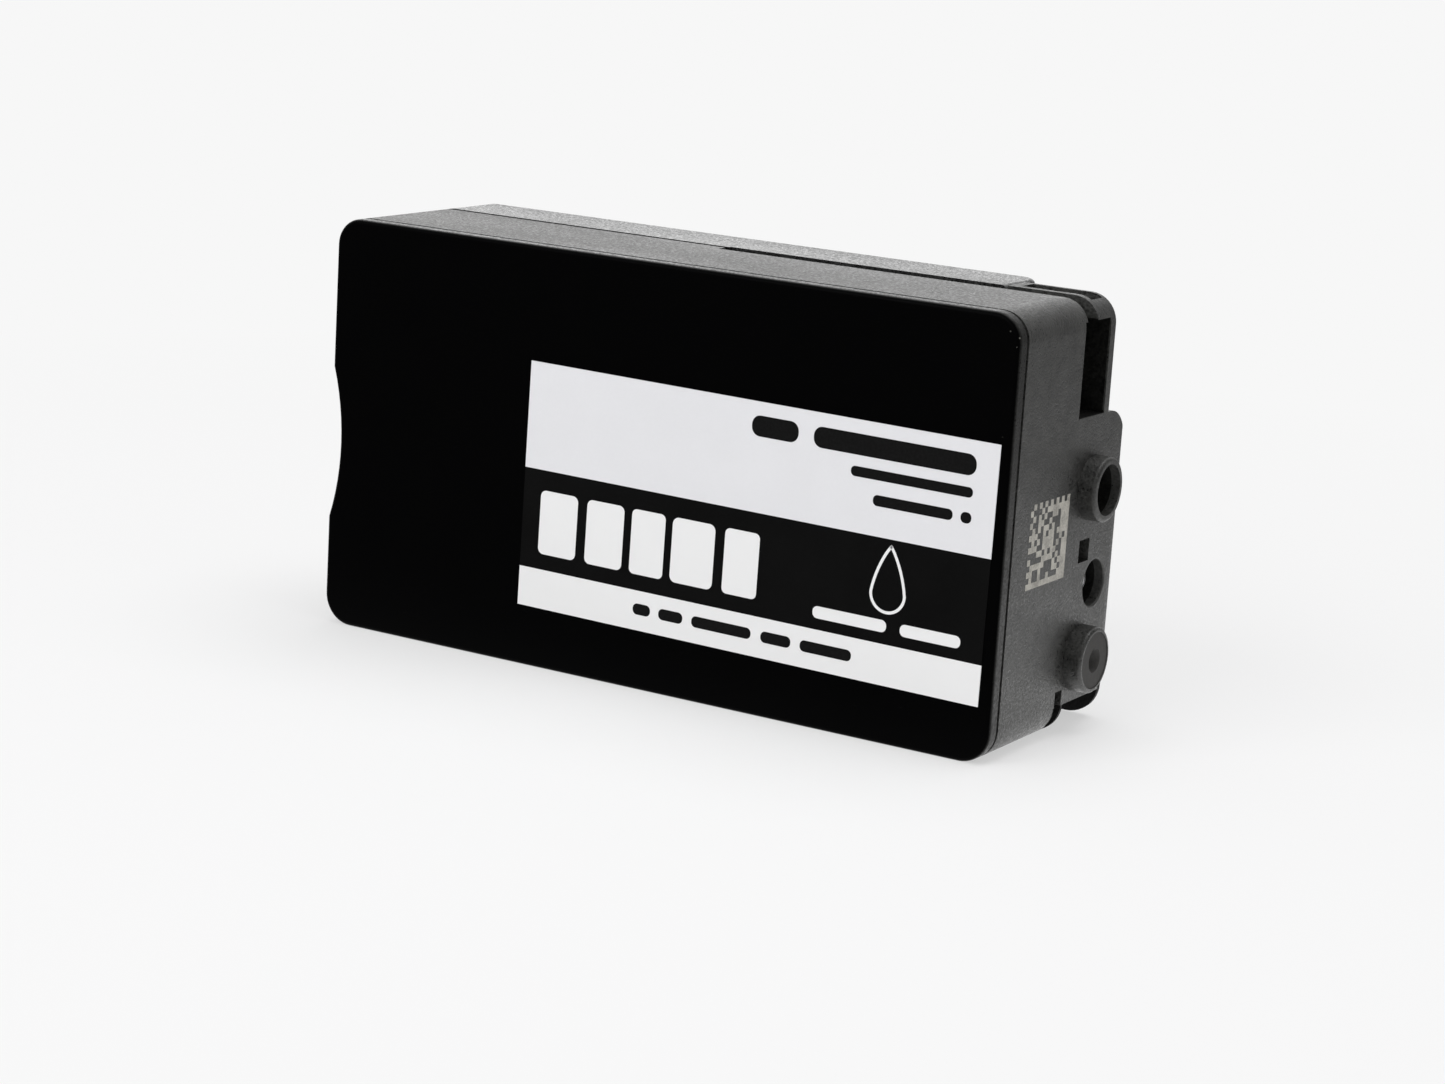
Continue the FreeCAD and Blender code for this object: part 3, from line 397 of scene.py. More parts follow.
class Paint:
    """One material, or the surroundings, while it is wired up."""

    def __init__(self, name, world=None):
        self.material = world or bpy.data.materials.new(name)
        self.material.use_nodes = True
        self.tree = self.material.node_tree
        self.tree.nodes.clear()
        self.output = "ShaderNodeOutputWorld" if world else "ShaderNodeOutputMaterial"
        self.glower = "ShaderNodeBackground" if world else "ShaderNodeEmission"
        self.place = self.node("ShaderNodeTexCoord", out="Generated" if world else "Object")

    def node(self, kind, sockets=None, out=0, **settings):
        """Add a node, set it, feed its sockets with values or wires, and hand back one of its outputs."""
        made = self.tree.nodes.new(kind)
        for key, value in settings.items():
            setattr(made, key, value)
        for key, value in (sockets or {}).items():
            if isinstance(value, Wire):
                self.tree.links.new(value.socket, made.inputs[key])
            else:
                made.inputs[key].default_value = value
        return Wire(self, made.outputs[out])

    def axis(self, letter, place=None):
        """One coordinate of the place on the piece, in metres, or of another vector."""
        return self.node("ShaderNodeSeparateXYZ", {0: place or self.place}, out=letter)

    def noise(self, size, detail=2.0, roughness=0.5, place=None):
        """Soft noise whose blotches are about this size in metres."""
        return self.node(
            "ShaderNodeTexNoise",
            {"Vector": place or self.place, "Scale": 1.0 / size, "Detail": detail, "Roughness": roughness})

    def cells(self, size):
        """Distance to the middle of the nearest cell."""
        return self.node("ShaderNodeTexVoronoi", {"Vector": self.place, "Scale": 1.0 / size})

    def stretch(self, x=1.0, y=1.0, z=1.0):
        """The place on the piece with its axes scaled: below 1 draws a pattern out along that axis."""
        return self.node("ShaderNodeMapping", {"Vector": self.place, "Scale": (x, y, z)})

    def level(self, value, low, high, to_low=0.0, to_high=1.0):
        """A value moved from one range to another and held in it."""
        return self.node(
            "ShaderNodeMapRange",
            {"Value": value, "From Min": low, "From Max": high, "To Min": to_low, "To Max": to_high},
            clamp=True)

    def mix(self, share, first, second):
        """One colour over another."""
        return self.node(
            "ShaderNodeMix", {0: share, 6: rgba(first), 7: rgba(second)}, out=2, data_type="RGBA")

    def bump(self, height, distance):
        """Relief from a height, this deep in metres."""
        return self.node(
            "ShaderNodeBump", {"Height": height, "Distance": distance, "Strength": 1.0}, out="Normal")

    def within(self, box):
        """1 in a box given in millimetres, 0 outside it."""
        inside = 1.0
        for letter, low, high in zip("XYZ", *box):
            place = self.axis(letter)
            inside = (place > low * MM) * (place < high * MM) * inside
        return inside

    def in_bore(self, y, z, radius, mouth):
        """1 in a round hole along X given in millimetres, 0 outside it and in its mouth."""
        across, up = self.axis("Y") - y * MM, self.axis("Z") - z * MM
        return (across * across + up * up < (radius * MM) ** 2) * (self.axis("X") < mouth * MM)

    def facing(self, letter):
        """How far the surface faces along an axis, from -1 to 1."""
        return self.axis(letter, self.node("ShaderNodeNewGeometry", out="Normal"))

    def blend(self, share, first, second):
        """One shader over another."""
        return self.node("ShaderNodeMixShader", {0: share, 1: first, 2: second})

    def glow(self, strength, colour=(1.0, 1.0, 1.0)):
        """An even glow."""
        return self.node(self.glower, {"Color": rgba(colour), "Strength": strength})

    def by_ray(self, light, mirrored, seen):
        """One shader as a source of light, one for mirrors and clear pieces, and one for the camera."""
        camera, mirror, clear = (
            self.node("ShaderNodeLightPath", out=name)
            for name in ("Is Camera Ray", "Is Glossy Ray", "Is Transmission Ray"))
        indirect = self.blend(mirror.maths("MAXIMUM", clear), light, mirrored)
        return self.blend(camera, indirect, seen)

    def surface(self, **sockets):
        """A shader. Socket names have _ for a space."""
        return self.node(
            "ShaderNodeBsdfPrincipled", {key.replace("_", " "): value for key, value in sockets.items()})

    def close(self, shader):
        """Wire a shader to the output."""
        output = self.tree.nodes.new(self.output)
        self.tree.links.new(shader.socket, output.inputs["Surface"])
        return self.material

    def finish(self, **sockets):
        """Close the material with one shader."""
        return self.close(self.surface(**sockets))


# Finishes


def moulded(name, colour, grain, roughness, relief, painted_shade_boxes, bore=None):
    """Black plastic from a spark-eroded mould, with shade painted into its recesses as a nearly black skin.
    """
    paint = Paint(name)
    skin = moulded_skin(paint, colour, grain, roughness, relief)
    # The recess skin is painted shade: its colour a quarter as light, and it is also rougher with less gloss
    deep = moulded_skin(paint, scaled(colour, 0.25), grain, roughness=0.6, relief=relief, gloss=0.08)
    painted_shade_mask = paint.in_bore(*bore) if bore else 0.0
    for box in painted_shade_boxes:
        painted_shade_mask = paint.within(box) + painted_shade_mask
    return paint.close(paint.blend(painted_shade_mask > 0.5, skin, deep))


def moulded_skin(paint, colour, grain, roughness, relief, gloss=0.5):
    """Fine pits, faint mottling and slight flow marks."""
    pits = paint.noise(grain, detail=3.0, roughness=0.62)
    mottle = paint.noise(grain * 5)
    flow = paint.noise(12 * MM, place=paint.stretch(x=0.25))
    shade = paint.level(pits * 0.7 + mottle * 0.3, 0.36, 0.64)
    return paint.surface(
        Base_Color=paint.mix(shade, scaled(colour, 0.3), scaled(colour, 1.7)),
        Roughness=paint.level(pits + flow * 0.2, 0.42, 0.75, roughness - 0.16, roughness + 0.2),
        Specular_IOR_Level=gloss, Normal=paint.bump(pits, relief))


def satin_cover(plastic, end):
    """The welded front cover: deep black in front, a grained, less black rim on the faces that do not face
    front, and dust along its port end.
    """
    paint = Paint("cover_satin")
    fine = paint.noise(0.35 * MM)
    haze = paint.noise(9 * MM, detail=3.0)
    strip = paint.level(paint.axis("X"), end - plastic.rub_width, end - 0.2 * MM)
    specks = paint.level(paint.cells(0.9 * MM), 0.16, 0.10) * (paint.noise(2.2 * MM) > 0.58) * strip
    face = paint.surface(
        Base_Color=paint.mix(specks * 0.6, plastic.cover_colour, (0.30, 0.30, 0.26)),
        Roughness=paint.level(haze + fine * 0.25, 0.35, 0.85, 0.34, 0.46), Specular_IOR_Level=0.022,
        Normal=paint.bump(fine, 0.006 * MM))
    rim = moulded_skin(
        paint, plastic.rim_colour, plastic.grain, roughness=0.36, relief=0.03 * MM, gloss=0.22)
    return paint.close(paint.blend(paint.level(paint.facing("Y"), -0.3, -0.7), rim, face))


def printed_label(label):
    """Coated paper with a pale field, a dark field and a white foot."""
    paint = Paint("label_paper_print")
    straight = paint.node(
        "ShaderNodeMapping",
        {"Vector": paint.place, "Location": label_middle, "Rotation": (0.0, label.turn, 0.0)},
        vector_type="TEXTURE")
    height = paint.axis("Z", straight)
    half = label_size(label)[1] / 2
    dark = (height < half - label.dark_top) * (height > half - label.dark_bottom)
    foot = height < half - label.dark_bottom
    fibre = paint.noise(0.5 * MM, detail=3.0, roughness=0.6)
    cloud = paint.noise(8 * MM)
    tone = paint.level(fibre * 0.4 + cloud * 0.6, 0.35, 0.65)
    paper = paint.mix(tone, scaled(label.paper_colour, 0.975), label.paper_colour)
    paper = paint.mix(foot, paper, label.foot_colour)
    ink = paint.mix(tone, label.ink_colour, scaled(label.ink_colour, 1.5))
    return paint.finish(
        Base_Color=paint.mix(dark, paper, ink),
        Roughness=paint.level(tone + dark * 0.4, 0.0, 1.4, 0.46, 0.36),
        Specular_IOR_Level=0.07, Normal=paint.bump(fibre, 0.004 * MM))


def print_ink(name, colour):
    """Printed marks: nearly flat, with the paper's fibre showing through."""
    paint = Paint(name)
    fibre = paint.noise(0.4 * MM, detail=3.0)
    return paint.finish(
        Base_Color=paint.mix(fibre * 0.02, colour, (0.4, 0.4, 0.4)),
        Roughness=paint.level(fibre, 0.3, 0.7, 0.38, 0.48), Specular_IOR_Level=0.07,
        Normal=paint.bump(fibre, 0.003 * MM))


def code_print(colour):
    """The square mark: jetted onto rough plastic, so it is patchy and a little worn."""
    paint = Paint("code_print")
    grain = paint.noise(0.22 * MM, detail=3.0, roughness=0.65)
    patch = paint.noise(1.9 * MM)
    cover = paint.level(grain * 0.6 + patch * 0.5, 0.42, 0.62)
    return paint.finish(
        Base_Color=paint.mix(cover, scaled(colour, 0.55), colour),
        Roughness=paint.level(grain, 0.3, 0.7, 0.5, 0.65), Specular_IOR_Level=0.3,
        Normal=paint.bump(grain, 0.01 * MM))


def solder_mask():
    """Green board with its laminate's weave under the lacquer."""
    paint = Paint("board_lacquer")
    weave = paint.node("ShaderNodeTexChecker", {"Vector": paint.place, "Scale": 1.0 / (0.4 * MM)}, out="Fac")
    soft = paint.noise(0.7 * MM)
    return paint.finish(
        Base_Color=paint.mix(weave * 0.3 + soft * 0.4, (0.010, 0.065, 0.028), (0.016, 0.095, 0.040)),
        Roughness=paint.level(soft, 0.3, 0.7, 0.24, 0.34), Coat_Weight=0.4, Coat_Roughness=0.15,
        Normal=paint.bump(soft, 0.01 * MM))


def plated(name, colour, size, roughness):
    """Bare or plated metal with faint handling marks."""
    paint = Paint(name)
    cloud = paint.noise(size, detail=3.0)
    return paint.finish(
        Base_Color=paint.mix(cloud, scaled(colour, 0.86), colour), Metallic=1.0,
        Roughness=paint.level(cloud, 0.3, 0.7, roughness, roughness + 0.12),
        Normal=paint.bump(cloud, 0.004 * MM))


def drawn(name, colour, run):
    """Drawn wire or rolled strip: fine lines that run along one axis."""
    paint = Paint(name)
    lines = paint.noise(0.12 * MM, detail=3.0, place=paint.stretch(**{run: 0.08}))
    return paint.finish(
        Base_Color=paint.mix(lines, scaled(colour, 0.75), colour), Metallic=1.0,
        Roughness=paint.level(lines, 0.3, 0.7, 0.2, 0.38), Normal=paint.bump(lines, 0.006 * MM))


def septum_rubber():
    """Grey rubber with a matt bloom."""
    paint = Paint("septum_rubber_bloom")
    bloom = paint.noise(0.6 * MM, detail=4.0, roughness=0.6)
    return paint.finish(
        Base_Color=paint.mix(paint.level(bloom, 0.35, 0.7), (0.026, 0.025, 0.024), (0.055, 0.053, 0.05)),
        Roughness=paint.level(bloom, 0.3, 0.7, 0.62, 0.8), Specular_IOR_Level=0.35,
        Normal=paint.bump(bloom, 0.02 * MM))


def woven_mesh():
    """Fine steel gauze: two crossing sets of wires."""
    paint = Paint("filter_gauze")
    warp, weft = (
        paint.node(
            "ShaderNodeTexWave", {"Vector": paint.place, "Scale": 1600.0, "Distortion": 0.0},
            wave_type="BANDS", bands_direction=axis)
        for axis in "XZ")
    gauze = warp.maths("MAXIMUM", weft)
    return paint.finish(
        Base_Color=paint.mix(gauze, (0.12, 0.12, 0.12), (0.6, 0.6, 0.58)), Metallic=1.0,
        Roughness=paint.level(gauze, 0.0, 1.0, 0.6, 0.3), Normal=paint.bump(gauze, 0.05 * MM))


def porous_white():
    """Porous white membrane with a fibrous face."""
    paint = Paint("membrane_fibre")
    fibre = paint.noise(0.12 * MM, detail=4.0, roughness=0.7)
    return paint.finish(
        Base_Color=paint.mix(fibre, (0.62, 0.62, 0.6), (0.86, 0.86, 0.84)), Roughness=0.85,
        Specular_IOR_Level=0.2, Normal=paint.bump(fibre, 0.03 * MM))


def film(name, colour, metallic, crease):
    """Thin film with soft creases."""
    paint = Paint(name)
    fold = paint.noise(crease, detail=3.0)
    return paint.finish(
        Base_Color=paint.mix(fold, scaled(colour, 0.82), colour), Metallic=metallic,
        Roughness=paint.level(fold, 0.3, 0.7, 0.16, 0.34), Normal=paint.bump(fold, crease * 0.04))


def clear_moulding(name, colour):
    """Milky clear moulding of the bag's spout and the plate."""
    paint = Paint(name)
    milk = paint.noise(4 * MM)
    return paint.finish(
        Base_Color=paint.mix(milk, scaled(colour, 0.9), colour),
        Roughness=paint.level(milk, 0.3, 0.7, 0.28, 0.42), Subsurface_Weight=0.25, Subsurface_Scale=1.0 * MM,
        Normal=paint.bump(milk, 0.02 * MM))


def resin():
    """Black potting resin, glossy, with a soft orange peel."""
    paint = Paint("potting_resin")
    peel = paint.noise(1.1 * MM, detail=1.0)
    return paint.finish(
        Base_Color=paint.mix(peel, (0.006, 0.006, 0.006), (0.016, 0.016, 0.016)),
        Roughness=paint.level(peel, 0.3, 0.7, 0.12, 0.22), Normal=paint.bump(peel, 0.06 * MM))


# Pieces


def label_size(label):
    """The label's own width and height, from the box round it as it is stuck on askew."""
    wide, high = label_high.x - label_low.x, label_high.z - label_low.z
    c, s = math.cos(label.turn), math.sin(label.turn)
    return (wide * c - high * s) / (c * c - s * s), (high * c - wide * s) / (c * c - s * s)


def on_label(label, across, down):
    """A point of the straight label, by its distance from the top left corner in millimetres."""
    width, height = label_size(label)
    return Vector((
        label_middle.x - width / 2 + across * MM, label_low.y - label.print_height / 2,
        label_middle.z + height / 2 - down * MM))


def add_bar(label, name, left, right, top, bottom, rounding):
    """A printed bar with round corners: rounding is the share of half its shorter side."""
    low, high = on_label(label, left, bottom), on_label(label, right, top)
    size = (high.x - low.x, label.print_height, high.z - low.z)
    choose()
    bpy.ops.mesh.primitive_cube_add(size=1.0, location=(low + high) / 2, scale=size)
    bar = begin(name)
    with shaping(bar):
        pick(bar, "edges", along(1))
        bpy.ops.mesh.bevel(offset=min(size[0], size[2]) / 2 * rounding, segments=6)
    return bar


class CARTRIDGE_OT_label_print(bpy.types.Operator):
    """Print the label: bars for its lines of text, blocks for its large type and a drop sign"""

    bl_idname = "cartridge.label_print"
    bl_label = "Label Print"
    bl_options = {"REGISTER", "UNDO"}

    # Left, right, top and bottom of each line, in millimetres from the label's top left corner
    dark_lines = (
        (37.0, 44.4, 1.9, 4.8), (46.8, 71.6, 1.9, 4.8), (52.9, 71.4, 6.35, 7.75), (56.6, 68.7, 9.75, 11.25),
        (69.9, 71.5, 9.75, 11.25), (19.7, 22.6, 31.75, 33.35), (24.0, 28.0, 31.75, 33.35),
        (29.5, 39.2, 31.75, 33.35), (40.8, 45.6, 31.75, 33.35), (47.1, 55.2, 31.75, 33.35),
    )
    pale_lines = ((48.7, 60.2, 26.6, 28.3), (62.3, 71.5, 26.6, 28.3))
    line_rounding = 0.9

    # Left and right of each block of large type, then what all of them share
    blocks = ((3.0, 9.4), (11.0, 17.3), (18.6, 24.2), (25.4, 32.4), (34.0, 39.6))
    block_top, block_bottom = 18.3, 27.6
    block_rounding = 0.28

    # Lowest point of the drop sign, and how soon its sides draw together above its waist
    drop_foot = (60.0, 25.7)
    drop_taper = 0.35

    def execute(self, context):
        label = context.scene.cartridge_label
        dark = [add_bar(label, "line", *line, self.line_rounding) for line in self.dark_lines]
        pale = [add_bar(label, "line", *line, self.line_rounding) for line in self.pale_lines]
        pale += [
            add_bar(label, "block", left, right, self.block_top, self.block_bottom, self.block_rounding)
            for left, right in self.blocks]
        pale.append(self.drop(label))
        dark = dress(join("label_dark_print", dark), print_ink("dark_ink", label.ink_colour))
        pale = dress(join("label_pale_print", pale), print_ink("pale_ink", label.foot_colour))
        for piece in (dark, pale):
            turn_about(piece, label_middle, label.turn, "Y")
            tidy(piece)
            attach(piece, "housing")
        return {"FINISHED"}

    def drop(self, label):
        """The outline of a falling drop, pointed at the top."""
        foot = on_label(label, *self.drop_foot)
        radius = label.drop_width / 2
        choose()
        bpy.ops.mesh.primitive_circle_add(
            vertices=48, radius=radius, fill_type="NGON", location=foot + Vector((0, 0, radius)),
            rotation=(math.radians(90), 0, 0))
        drop = begin("drop_sign")
        waist = foot.z + radius
        reach = label.drop_height - radius
        with shaping(drop):
            shape = bmesh.from_edit_mesh(drop.data)
            for vertex in shape.verts:
                if vertex.co.z > waist:
                    share = (vertex.co.z - waist) / radius
                    side = (vertex.co.x - foot.x) / radius
                    side *= (1.0 - share) ** self.drop_taper if share < 1.0 else 0.0
                    vertex.co.x = foot.x + side * radius
                    vertex.co.z = waist + share * reach
            bmesh.update_edit_mesh(drop.data)
            bpy.ops.mesh.select_all(action="SELECT")
            bpy.ops.mesh.inset(thickness=label.drop_line, depth=0.0)
            bpy.ops.mesh.delete(type="FACE")
            bpy.ops.mesh.select_all(action="SELECT")
            bpy.ops.mesh.extrude_region_move(
                TRANSFORM_OT_translate={"value": (0.0, label.print_height / 2, 0.0)})
        return drop


class CARTRIDGE_OT_code_mark(bpy.types.Operator):
    """Jet the square mark onto the end: a random pattern with a solid foot and a solid side"""

    bl_idname = "cartridge.code_mark"
    bl_label = "Square Mark"
    bl_options = {"REGISTER", "UNDO"}

    # Share of the inner cells that are printed
    printed_share = 0.5

    def execute(self, context):
        code = context.scene.cartridge_code
        centre = Vector((
            cover_high.x + CODE_LAYER, cover_low.y + code.left + code.side / 2, code.bottom + code.side / 2))
        choose()
        bpy.ops.mesh.primitive_grid_add(
            x_subdivisions=code.cells, y_subdivisions=code.cells, size=code.side, location=centre,
            rotation=(0.0, math.radians(90), 0.0))
        mark = begin("code_mark")
        chance = random.Random(code.seed)
        last = code.cells - 1
        filled = {}
        for row in range(code.cells):
            for column in range(code.cells):
                if row == 0 or column == last:
                    filled[row, column] = True
                elif row == last or column == 0:
                    filled[row, column] = (row + column) % 2 == 0
                else:
                    filled[row, column] = chance.random() < self.printed_share
        step = code.side / code.cells
        low = centre - Vector((0.0, code.side / 2, code.side / 2))

        def empty(face):
            place = face.calc_center_median() - low
            return not filled[int(place.z / step), int(place.y / step)]

        with shaping(mark):
            pick(mark, "faces", empty)
            bpy.ops.mesh.delete(type="FACE")
            bpy.ops.mesh.select_all(action="SELECT")
            bpy.ops.mesh.extrude_region_move(TRANSFORM_OT_translate={"value": (-CODE_LAYER, 0.0, 0.0)})
        tidy(mark)
        dress(mark, code_print(code.colour))
        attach(mark, "housing")
        return {"FINISHED"}


class CARTRIDGE_OT_outlet_coil(bpy.types.Operator):
    """Wind the outlet's coil spring with closed ends, from the valve bore's end to the ball"""

    bl_idname = "cartridge.outlet_coil"
    bl_label = "Outlet Coil"
    bl_options = {"REGISTER", "UNDO"}

    # Sides of the wire, steps in each turn, and the rise of a closed end turn in thicknesses of the wire
    sides = 12
    steps = 30
    end_rise = 1.02

    def execute(self, context):
        springs = context.scene.cartridge_springs
        wire, turns = springs.coil_wire, springs.coil_turns
        axis = (coil_low + coil_high) / 2
        reach = coil_high.x - coil_low.x - wire
        mean = (coil_high.y - coil_low.y - wire) / 2
        choose()
        bpy.ops.mesh.primitive_circle_add(
            vertices=self.sides, radius=wire / 2, location=(mean, 0.0, 0.0),
            rotation=(math.radians(90), 0.0, 0.0))
        coil = begin("outlet_coil")
        modify(
            coil, "SCREW", angle=math.tau * turns, steps=self.steps * turns, render_steps=self.steps * turns,
            screw_offset=0.0, iterations=1, use_merge_vertices=False)
        closed = wire * self.end_rise
        for index, vertex in enumerate(coil.data.vertices):
            turn = (index // self.sides) / self.steps
            if turn < 1:
                rise = closed * turn
            elif turn > turns - 1:
                rise = reach - closed * (turns - turn)
            else:
                rise = closed + (reach - closed * 2) * (turn - 1) / (turns - 2)
            vertex.co.z += rise
        with shaping(coil):
            pick(coil, "edges", lambda edge: edge.is_boundary)
            bpy.ops.mesh.fill_holes(sides=0)
        turn_about(coil, Vector(), math.radians(90), "Y")
        coil.location = (coil_low.x + wire / 2, axis.y, axis.z)
        settle()
        tidy(coil, angle=60.0)
        dress(coil, drawn("coil_wire", (0.55, 0.55, 0.54), run="y"))
        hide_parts("outlet_spring")
        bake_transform(coil)
        return {"FINISHED"}


class CARTRIDGE_OT_leaf_spring(bpy.types.Operator):
    """Bow the leaf spring from the front cover to the bag's plate, narrower at its ends"""

    bl_idname = "cartridge.leaf_spring"
    bl_label = "Leaf Spring"
    bl_options = {"REGISTER", "UNDO"}

    # Share of the half length at which an end starts to narrow, and how much width it loses
    narrow_from = 0.7
    narrowing = 0.35

    def execute(self, context):
        springs = context.scene.cartridge_springs
        thick = springs.leaf_thickness
        centre = (leaf_low + leaf_high) / 2
        span = leaf_high.z - leaf_low.z
        rise = leaf_high.y - leaf_low.y - thick
        choose()
        bpy.ops.mesh.primitive_grid_add(
            x_subdivisions=6, y_subdivisions=40, size=1.0,
            location=(centre.x, leaf_low.y + thick / 2, centre.z), rotation=(math.radians(90), 0.0, 0.0))
        leaf = bpy.context.active_object
        leaf.scale = (leaf_high.x - leaf_low.x, span, 1.0)
        leaf = begin("bag_leaf")
        for vertex in leaf.data.vertices:
            share = (vertex.co.z - centre.z) / (span / 2)
            vertex.co.y += rise * (1.0 - share * share)
            end = max(0.0, abs(share) - self.narrow_from) / (1.0 - self.narrow_from)
            vertex.co.x = centre.x + (vertex.co.x - centre.x) * (1.0 - self.narrowing * end)
        modify(leaf, "SOLIDIFY", thickness=thick, offset=0.0)
        modify(
            leaf, "BEVEL", width=thick * 0.2, segments=2, limit_method="ANGLE",
            angle_limit=math.radians(50))
        tidy(leaf)
        dress(leaf, drawn("leaf_strip", (0.52, 0.52, 0.5), run="z"))
        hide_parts("bag_spring")
        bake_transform(leaf)
        return {"FINISHED"}


class CARTRIDGE_OT_air_bag(bpy.types.Operator):
    """Weld the air bag: two films that bulge inside a flat seam, held between divider and plate"""

    bl_idname = "cartridge.air_bag"
    bl_label = "Air Bag"
    bl_options = {"REGISTER", "UNDO"}

    # Rings of faces across the seam, and the area in square metres that only the two large faces pass
    rings = 3
    large = 4e-4

    def execute(self, context):
        seam = context.scene.cartridge_springs.seam_width
        corner = context.scene.cartridge_springs.bag_corner
        centre = (bag_low + bag_high) / 2
        size = bag_high - bag_low
        choose()
        bpy.ops.mesh.primitive_cube_add(size=1.0, location=centre, scale=size)
        bag = begin("air_bag_film")
        with shaping(bag):
            pick(bag, "edges", along(1))
            bpy.ops.mesh.bevel(offset=corner, segments=8)
            for _ in range(self.rings):
                pick(bag, "faces", lambda face: abs(face.normal.y) > 0.9 and face.calc_area() > self.large)
                bpy.ops.mesh.inset(thickness=seam / self.rings, depth=0.0)
        for vertex in bag.data.vertices:
            past = Vector((
                max(0.0, abs(vertex.co.x - centre.x) - size.x / 2 + corner),
                max(0.0, abs(vertex.co.z - centre.z) - size.z / 2 + corner)))
            share = min(1.0, max(0.0, corner - past.length) / seam)
            side = 1.0 if vertex.co.y > centre.y else -1.0
            vertex.co.y = centre.y + side * (SEAM_HALF + (size.y / 2 - SEAM_HALF) * share)
        tidy(bag, angle=60.0)
        dress(bag, film("bag_foil", (0.62, 0.62, 0.64), metallic=0.6, crease=6.0 * MM))
        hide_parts("air_bag")
        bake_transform(bag)
        return {"FINISHED"}


class CARTRIDGE_OT_finishes(bpy.types.Operator):
    """Give each moulding, seal, ball and board its own finish"""

    bl_idname = "cartridge.finishes"
    bl_label = "Finishes"
    bl_options = {"REGISTER", "UNDO"}

    def execute(self, context):
        plastic = context.scene.cartridge_plastic
        label = context.scene.cartridge_label
        steel = plated("ball_steel", (0.80, 0.80, 0.81), size=2.0 * MM, roughness=0.24)
        finishes = {
            # The tank and the rear cover get painted shade in their recess boxes
            "tank_body": moulded(
                "tank_texture", plastic.tank_colour, plastic.grain, roughness=0.42, relief=0.1 * MM,
                painted_shade_boxes=(NOSE_DEPTHS, SLOT_DEPTHS, KEY_DEPTHS, SEAM_DEPTHS), bore=AIR_BORE),
            "rear_cover": moulded(
                "rear_texture", plastic.rear_colour, plastic.grain, roughness=0.3, relief=0.05 * MM,
                painted_shade_boxes=(TAIL_DEPTHS, SEAM_DEPTHS)),
            "front_cover": satin_cover(plastic, cover_high.x),
            "front_label": printed_label(label),
            "chip_board": solder_mask(),
            "chip_contacts": plated("pad_gold", (0.83, 0.62, 0.26), size=0.8 * MM, roughness=0.22),
            "chip_die": resin(),
            "outlet_septum": septum_rubber(),
            "outlet_ball": steel,
            "fill_ball": steel,
            "bubbler_ball": steel,
            "outlet_filter": woven_mesh(),
            "air_membrane": porous_white(),
            "bag_fitment": clear_moulding("fitment_clear", (0.74, 0.74, 0.70)),
            "bag_plate": clear_moulding("plate_milky", (0.70, 0.70, 0.67)),
            "vent_film": film("vent_foil", (0.66, 0.68, 0.70), metallic=0.0, crease=3.0 * MM),
        }
        for node, material in finishes.items():
            coat(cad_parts[node], material)
        return {"FINISHED"}


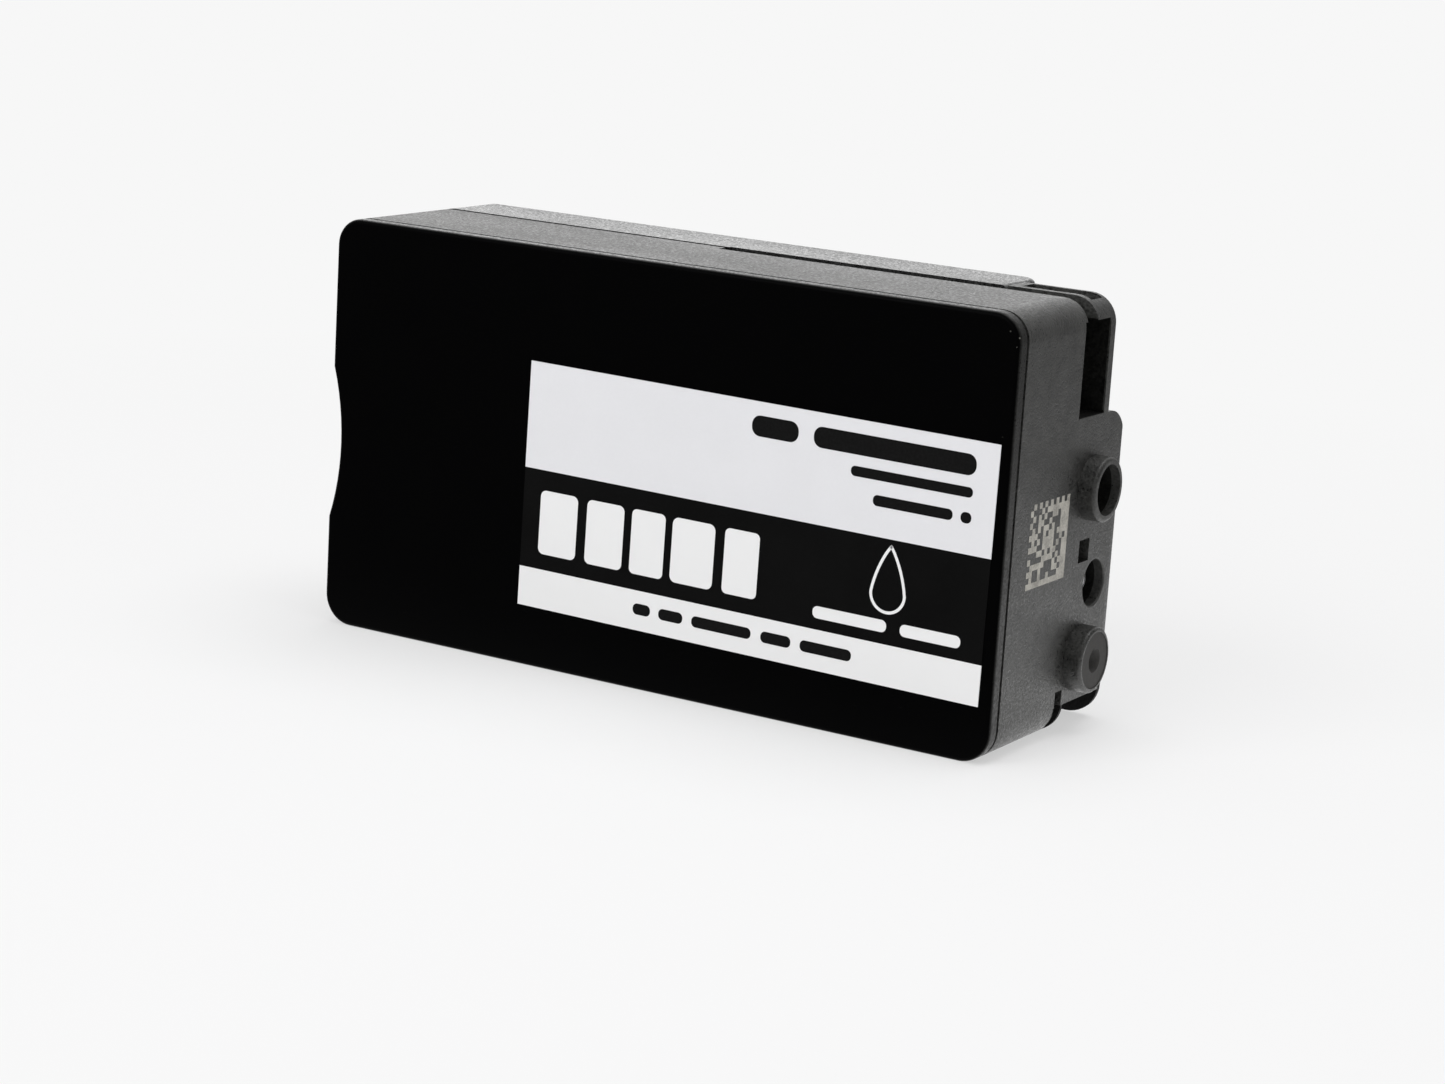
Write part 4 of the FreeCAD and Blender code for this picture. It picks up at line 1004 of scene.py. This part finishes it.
class CARTRIDGE_OT_studio(bpy.types.Operator):
    """Set the pale table, the soft lamps, the surroundings and the camera"""

    bl_idname = "cartridge.studio"
    bl_label = "Studio"
    bl_options = {"REGISTER", "UNDO"}

    # Name, place, setting of the power and width of each lamp, and the point that all of them face
    lamps = (
        ("key_lamp", (-0.25, -0.9, 0.65), "key_light", 0.8),
        ("top_lamp", (0.1, 0.15, 1.0), "top_light", 0.9),
        ("side_lamp", (1.0, -0.1, 0.4), "side_light", 0.7),
    )
    aim = (0.0, 0.0, 0.03)

    # Where its shadow and the table's glow in mirrors beside it, a painted reflection, start to fade, in
    # metres from the cartridge's middle
    shadow_from = 0.06
    bright_from = 0.07

    def execute(self, context):
        studio = context.scene.cartridge_studio
        self.camera(context)
        self.table(studio)
        self.surroundings(context, studio)
        for name, place, power, size in self.lamps:
            self.lamp(name, place, getattr(studio, power), size)
        context.scene.view_settings.view_transform = "Standard"
        return {"FINISHED"}

    def camera(self, context):
        view = context.scene.cartridge_view
        level = Matrix.Rotation(view.heading, 3, "Z")
        across = level @ Vector((1.0, 0.0, 0.0))
        sight = level @ Vector((0.0, math.cos(view.dip), -math.sin(view.dip)))
        rise = across.cross(sight)
        right = across * math.cos(view.roll) + rise * math.sin(view.roll)
        above = rise * math.cos(view.roll) - across * math.sin(view.roll)
        bpy.ops.object.camera_add(location=view.eye)
        camera = context.active_object
        camera.rotation_euler = Matrix((right, above, -sight)).transposed().to_euler()
        camera.data.sensor_width = 36.0
        camera.data.lens = view.lens
        camera.data.clip_start, camera.data.clip_end = 0.01, 50.0
        context.scene.camera = camera

    def table(self, studio):
        choose()
        bpy.ops.mesh.primitive_circle_add(
            vertices=96, radius=studio.floor_radius, fill_type="NGON", location=(0.0, 0.0, cad_low.z))
        floor = begin("table")
        paint = Paint("table_white")
        reach = paint.node("ShaderNodeVectorMath", {0: paint.place}, out="Value", operation="LENGTH")
        lit = paint.node("ShaderNodeBsdfDiffuse", {"Color": rgba(studio.floor_colour)})
        plain = paint.glow(1.0, studio.sky_colour)
        # In mirrors the table glows, brighter close to the cartridge and behind it: a painted reflection of a
        # lit table on the cartridge's faces
        near = paint.glow(studio.mirror_near)
        far = paint.glow(studio.mirror_far)
        shadow = paint.level(reach, self.shadow_from, studio.shadow_reach, studio.shadow, 0.0)
        beside = paint.level(reach, self.bright_from, studio.shadow_reach, 1.0, 0.0)
        behind = paint.level(paint.axis("Y"), -0.04, 0.0)
        mirrored = paint.blend(beside * behind, far, near)
        coat(floor, paint.close(paint.by_ray(lit, mirrored, paint.blend(shadow, plain, lit))))

    def surroundings(self, context, studio):
        world = context.scene.world or bpy.data.worlds.new("room")
        context.scene.world = world
        paint = Paint("room", world)
        light = paint.glow(studio.room_light)
        shown = paint.glow(1.0, studio.sky_colour)
        back = paint.glow(studio.back_glow)
        gloom = paint.glow(studio.end_gloom)
        left = paint.level(paint.axis("X"), -0.5, 0.4, 1.0, 0.0)
        behind = paint.level(paint.axis("Y"), -0.3, 0.2)
        mirrored = paint.blend(left * behind, gloom, back)
        paint.close(paint.by_ray(light, mirrored, shown))

    def lamp(self, name, place, power, size):
        bpy.ops.object.light_add(type="AREA", location=place)
        lamp = bpy.context.active_object
        lamp.name = lamp.data.name = name
        lamp.data.shape = "DISK"
        lamp.data.size = size
        lamp.data.energy = power
        lamp.rotation_euler = (Vector(self.aim) - Vector(place)).to_track_quat("-Z", "Y").to_euler()


# Sidebar


class CARTRIDGE_PT_tools(bpy.types.Panel):
    """Everything that dresses the cartridge"""

    bl_label = "Ink Cartridge"
    bl_idname = "CARTRIDGE_PT_tools"
    bl_space_type = "VIEW_3D"
    bl_region_type = "UI"
    bl_category = "Cartridge"

    def draw(self, context):
        for step, settings in STEPS:
            box = self.layout.box()
            box.operator(step)
            if settings:
                group = getattr(context.scene, settings)
                for key in group.__annotations__:
                    box.prop(group, key)


SETTINGS = {
    "cartridge_view": ViewSettings,
    "cartridge_studio": StudioSettings,
    "cartridge_plastic": PlasticSettings,
    "cartridge_label": LabelSettings,
    "cartridge_code": CodeSettings,
    "cartridge_springs": SpringSettings,
}
STEPS = (
    ("cartridge.studio", "cartridge_studio"),
    ("cartridge.finishes", "cartridge_plastic"),
    ("cartridge.label_print", "cartridge_label"),
    ("cartridge.code_mark", "cartridge_code"),
    ("cartridge.outlet_coil", "cartridge_springs"),
    ("cartridge.leaf_spring", None),
    ("cartridge.air_bag", None),
)
CLASSES = (
    *SETTINGS.values(),
    CARTRIDGE_OT_studio,
    CARTRIDGE_OT_finishes,
    CARTRIDGE_OT_label_print,
    CARTRIDGE_OT_code_mark,
    CARTRIDGE_OT_outlet_coil,
    CARTRIDGE_OT_leaf_spring,
    CARTRIDGE_OT_air_bag,
    CARTRIDGE_PT_tools,
)


def register():
    for each in CLASSES:
        bpy.utils.register_class(each)
    for name, group in SETTINGS.items():
        setattr(bpy.types.Scene, name, PointerProperty(type=group))


def unregister():
    for name in SETTINGS:
        delattr(bpy.types.Scene, name)
    for each in reversed(CLASSES):
        bpy.utils.unregister_class(each)


def main():
    register()
    for step, _ in STEPS:
        family, verb = step.split(".")
        getattr(getattr(bpy.ops, family), verb)()


if __name__ == "__main__":
    main()
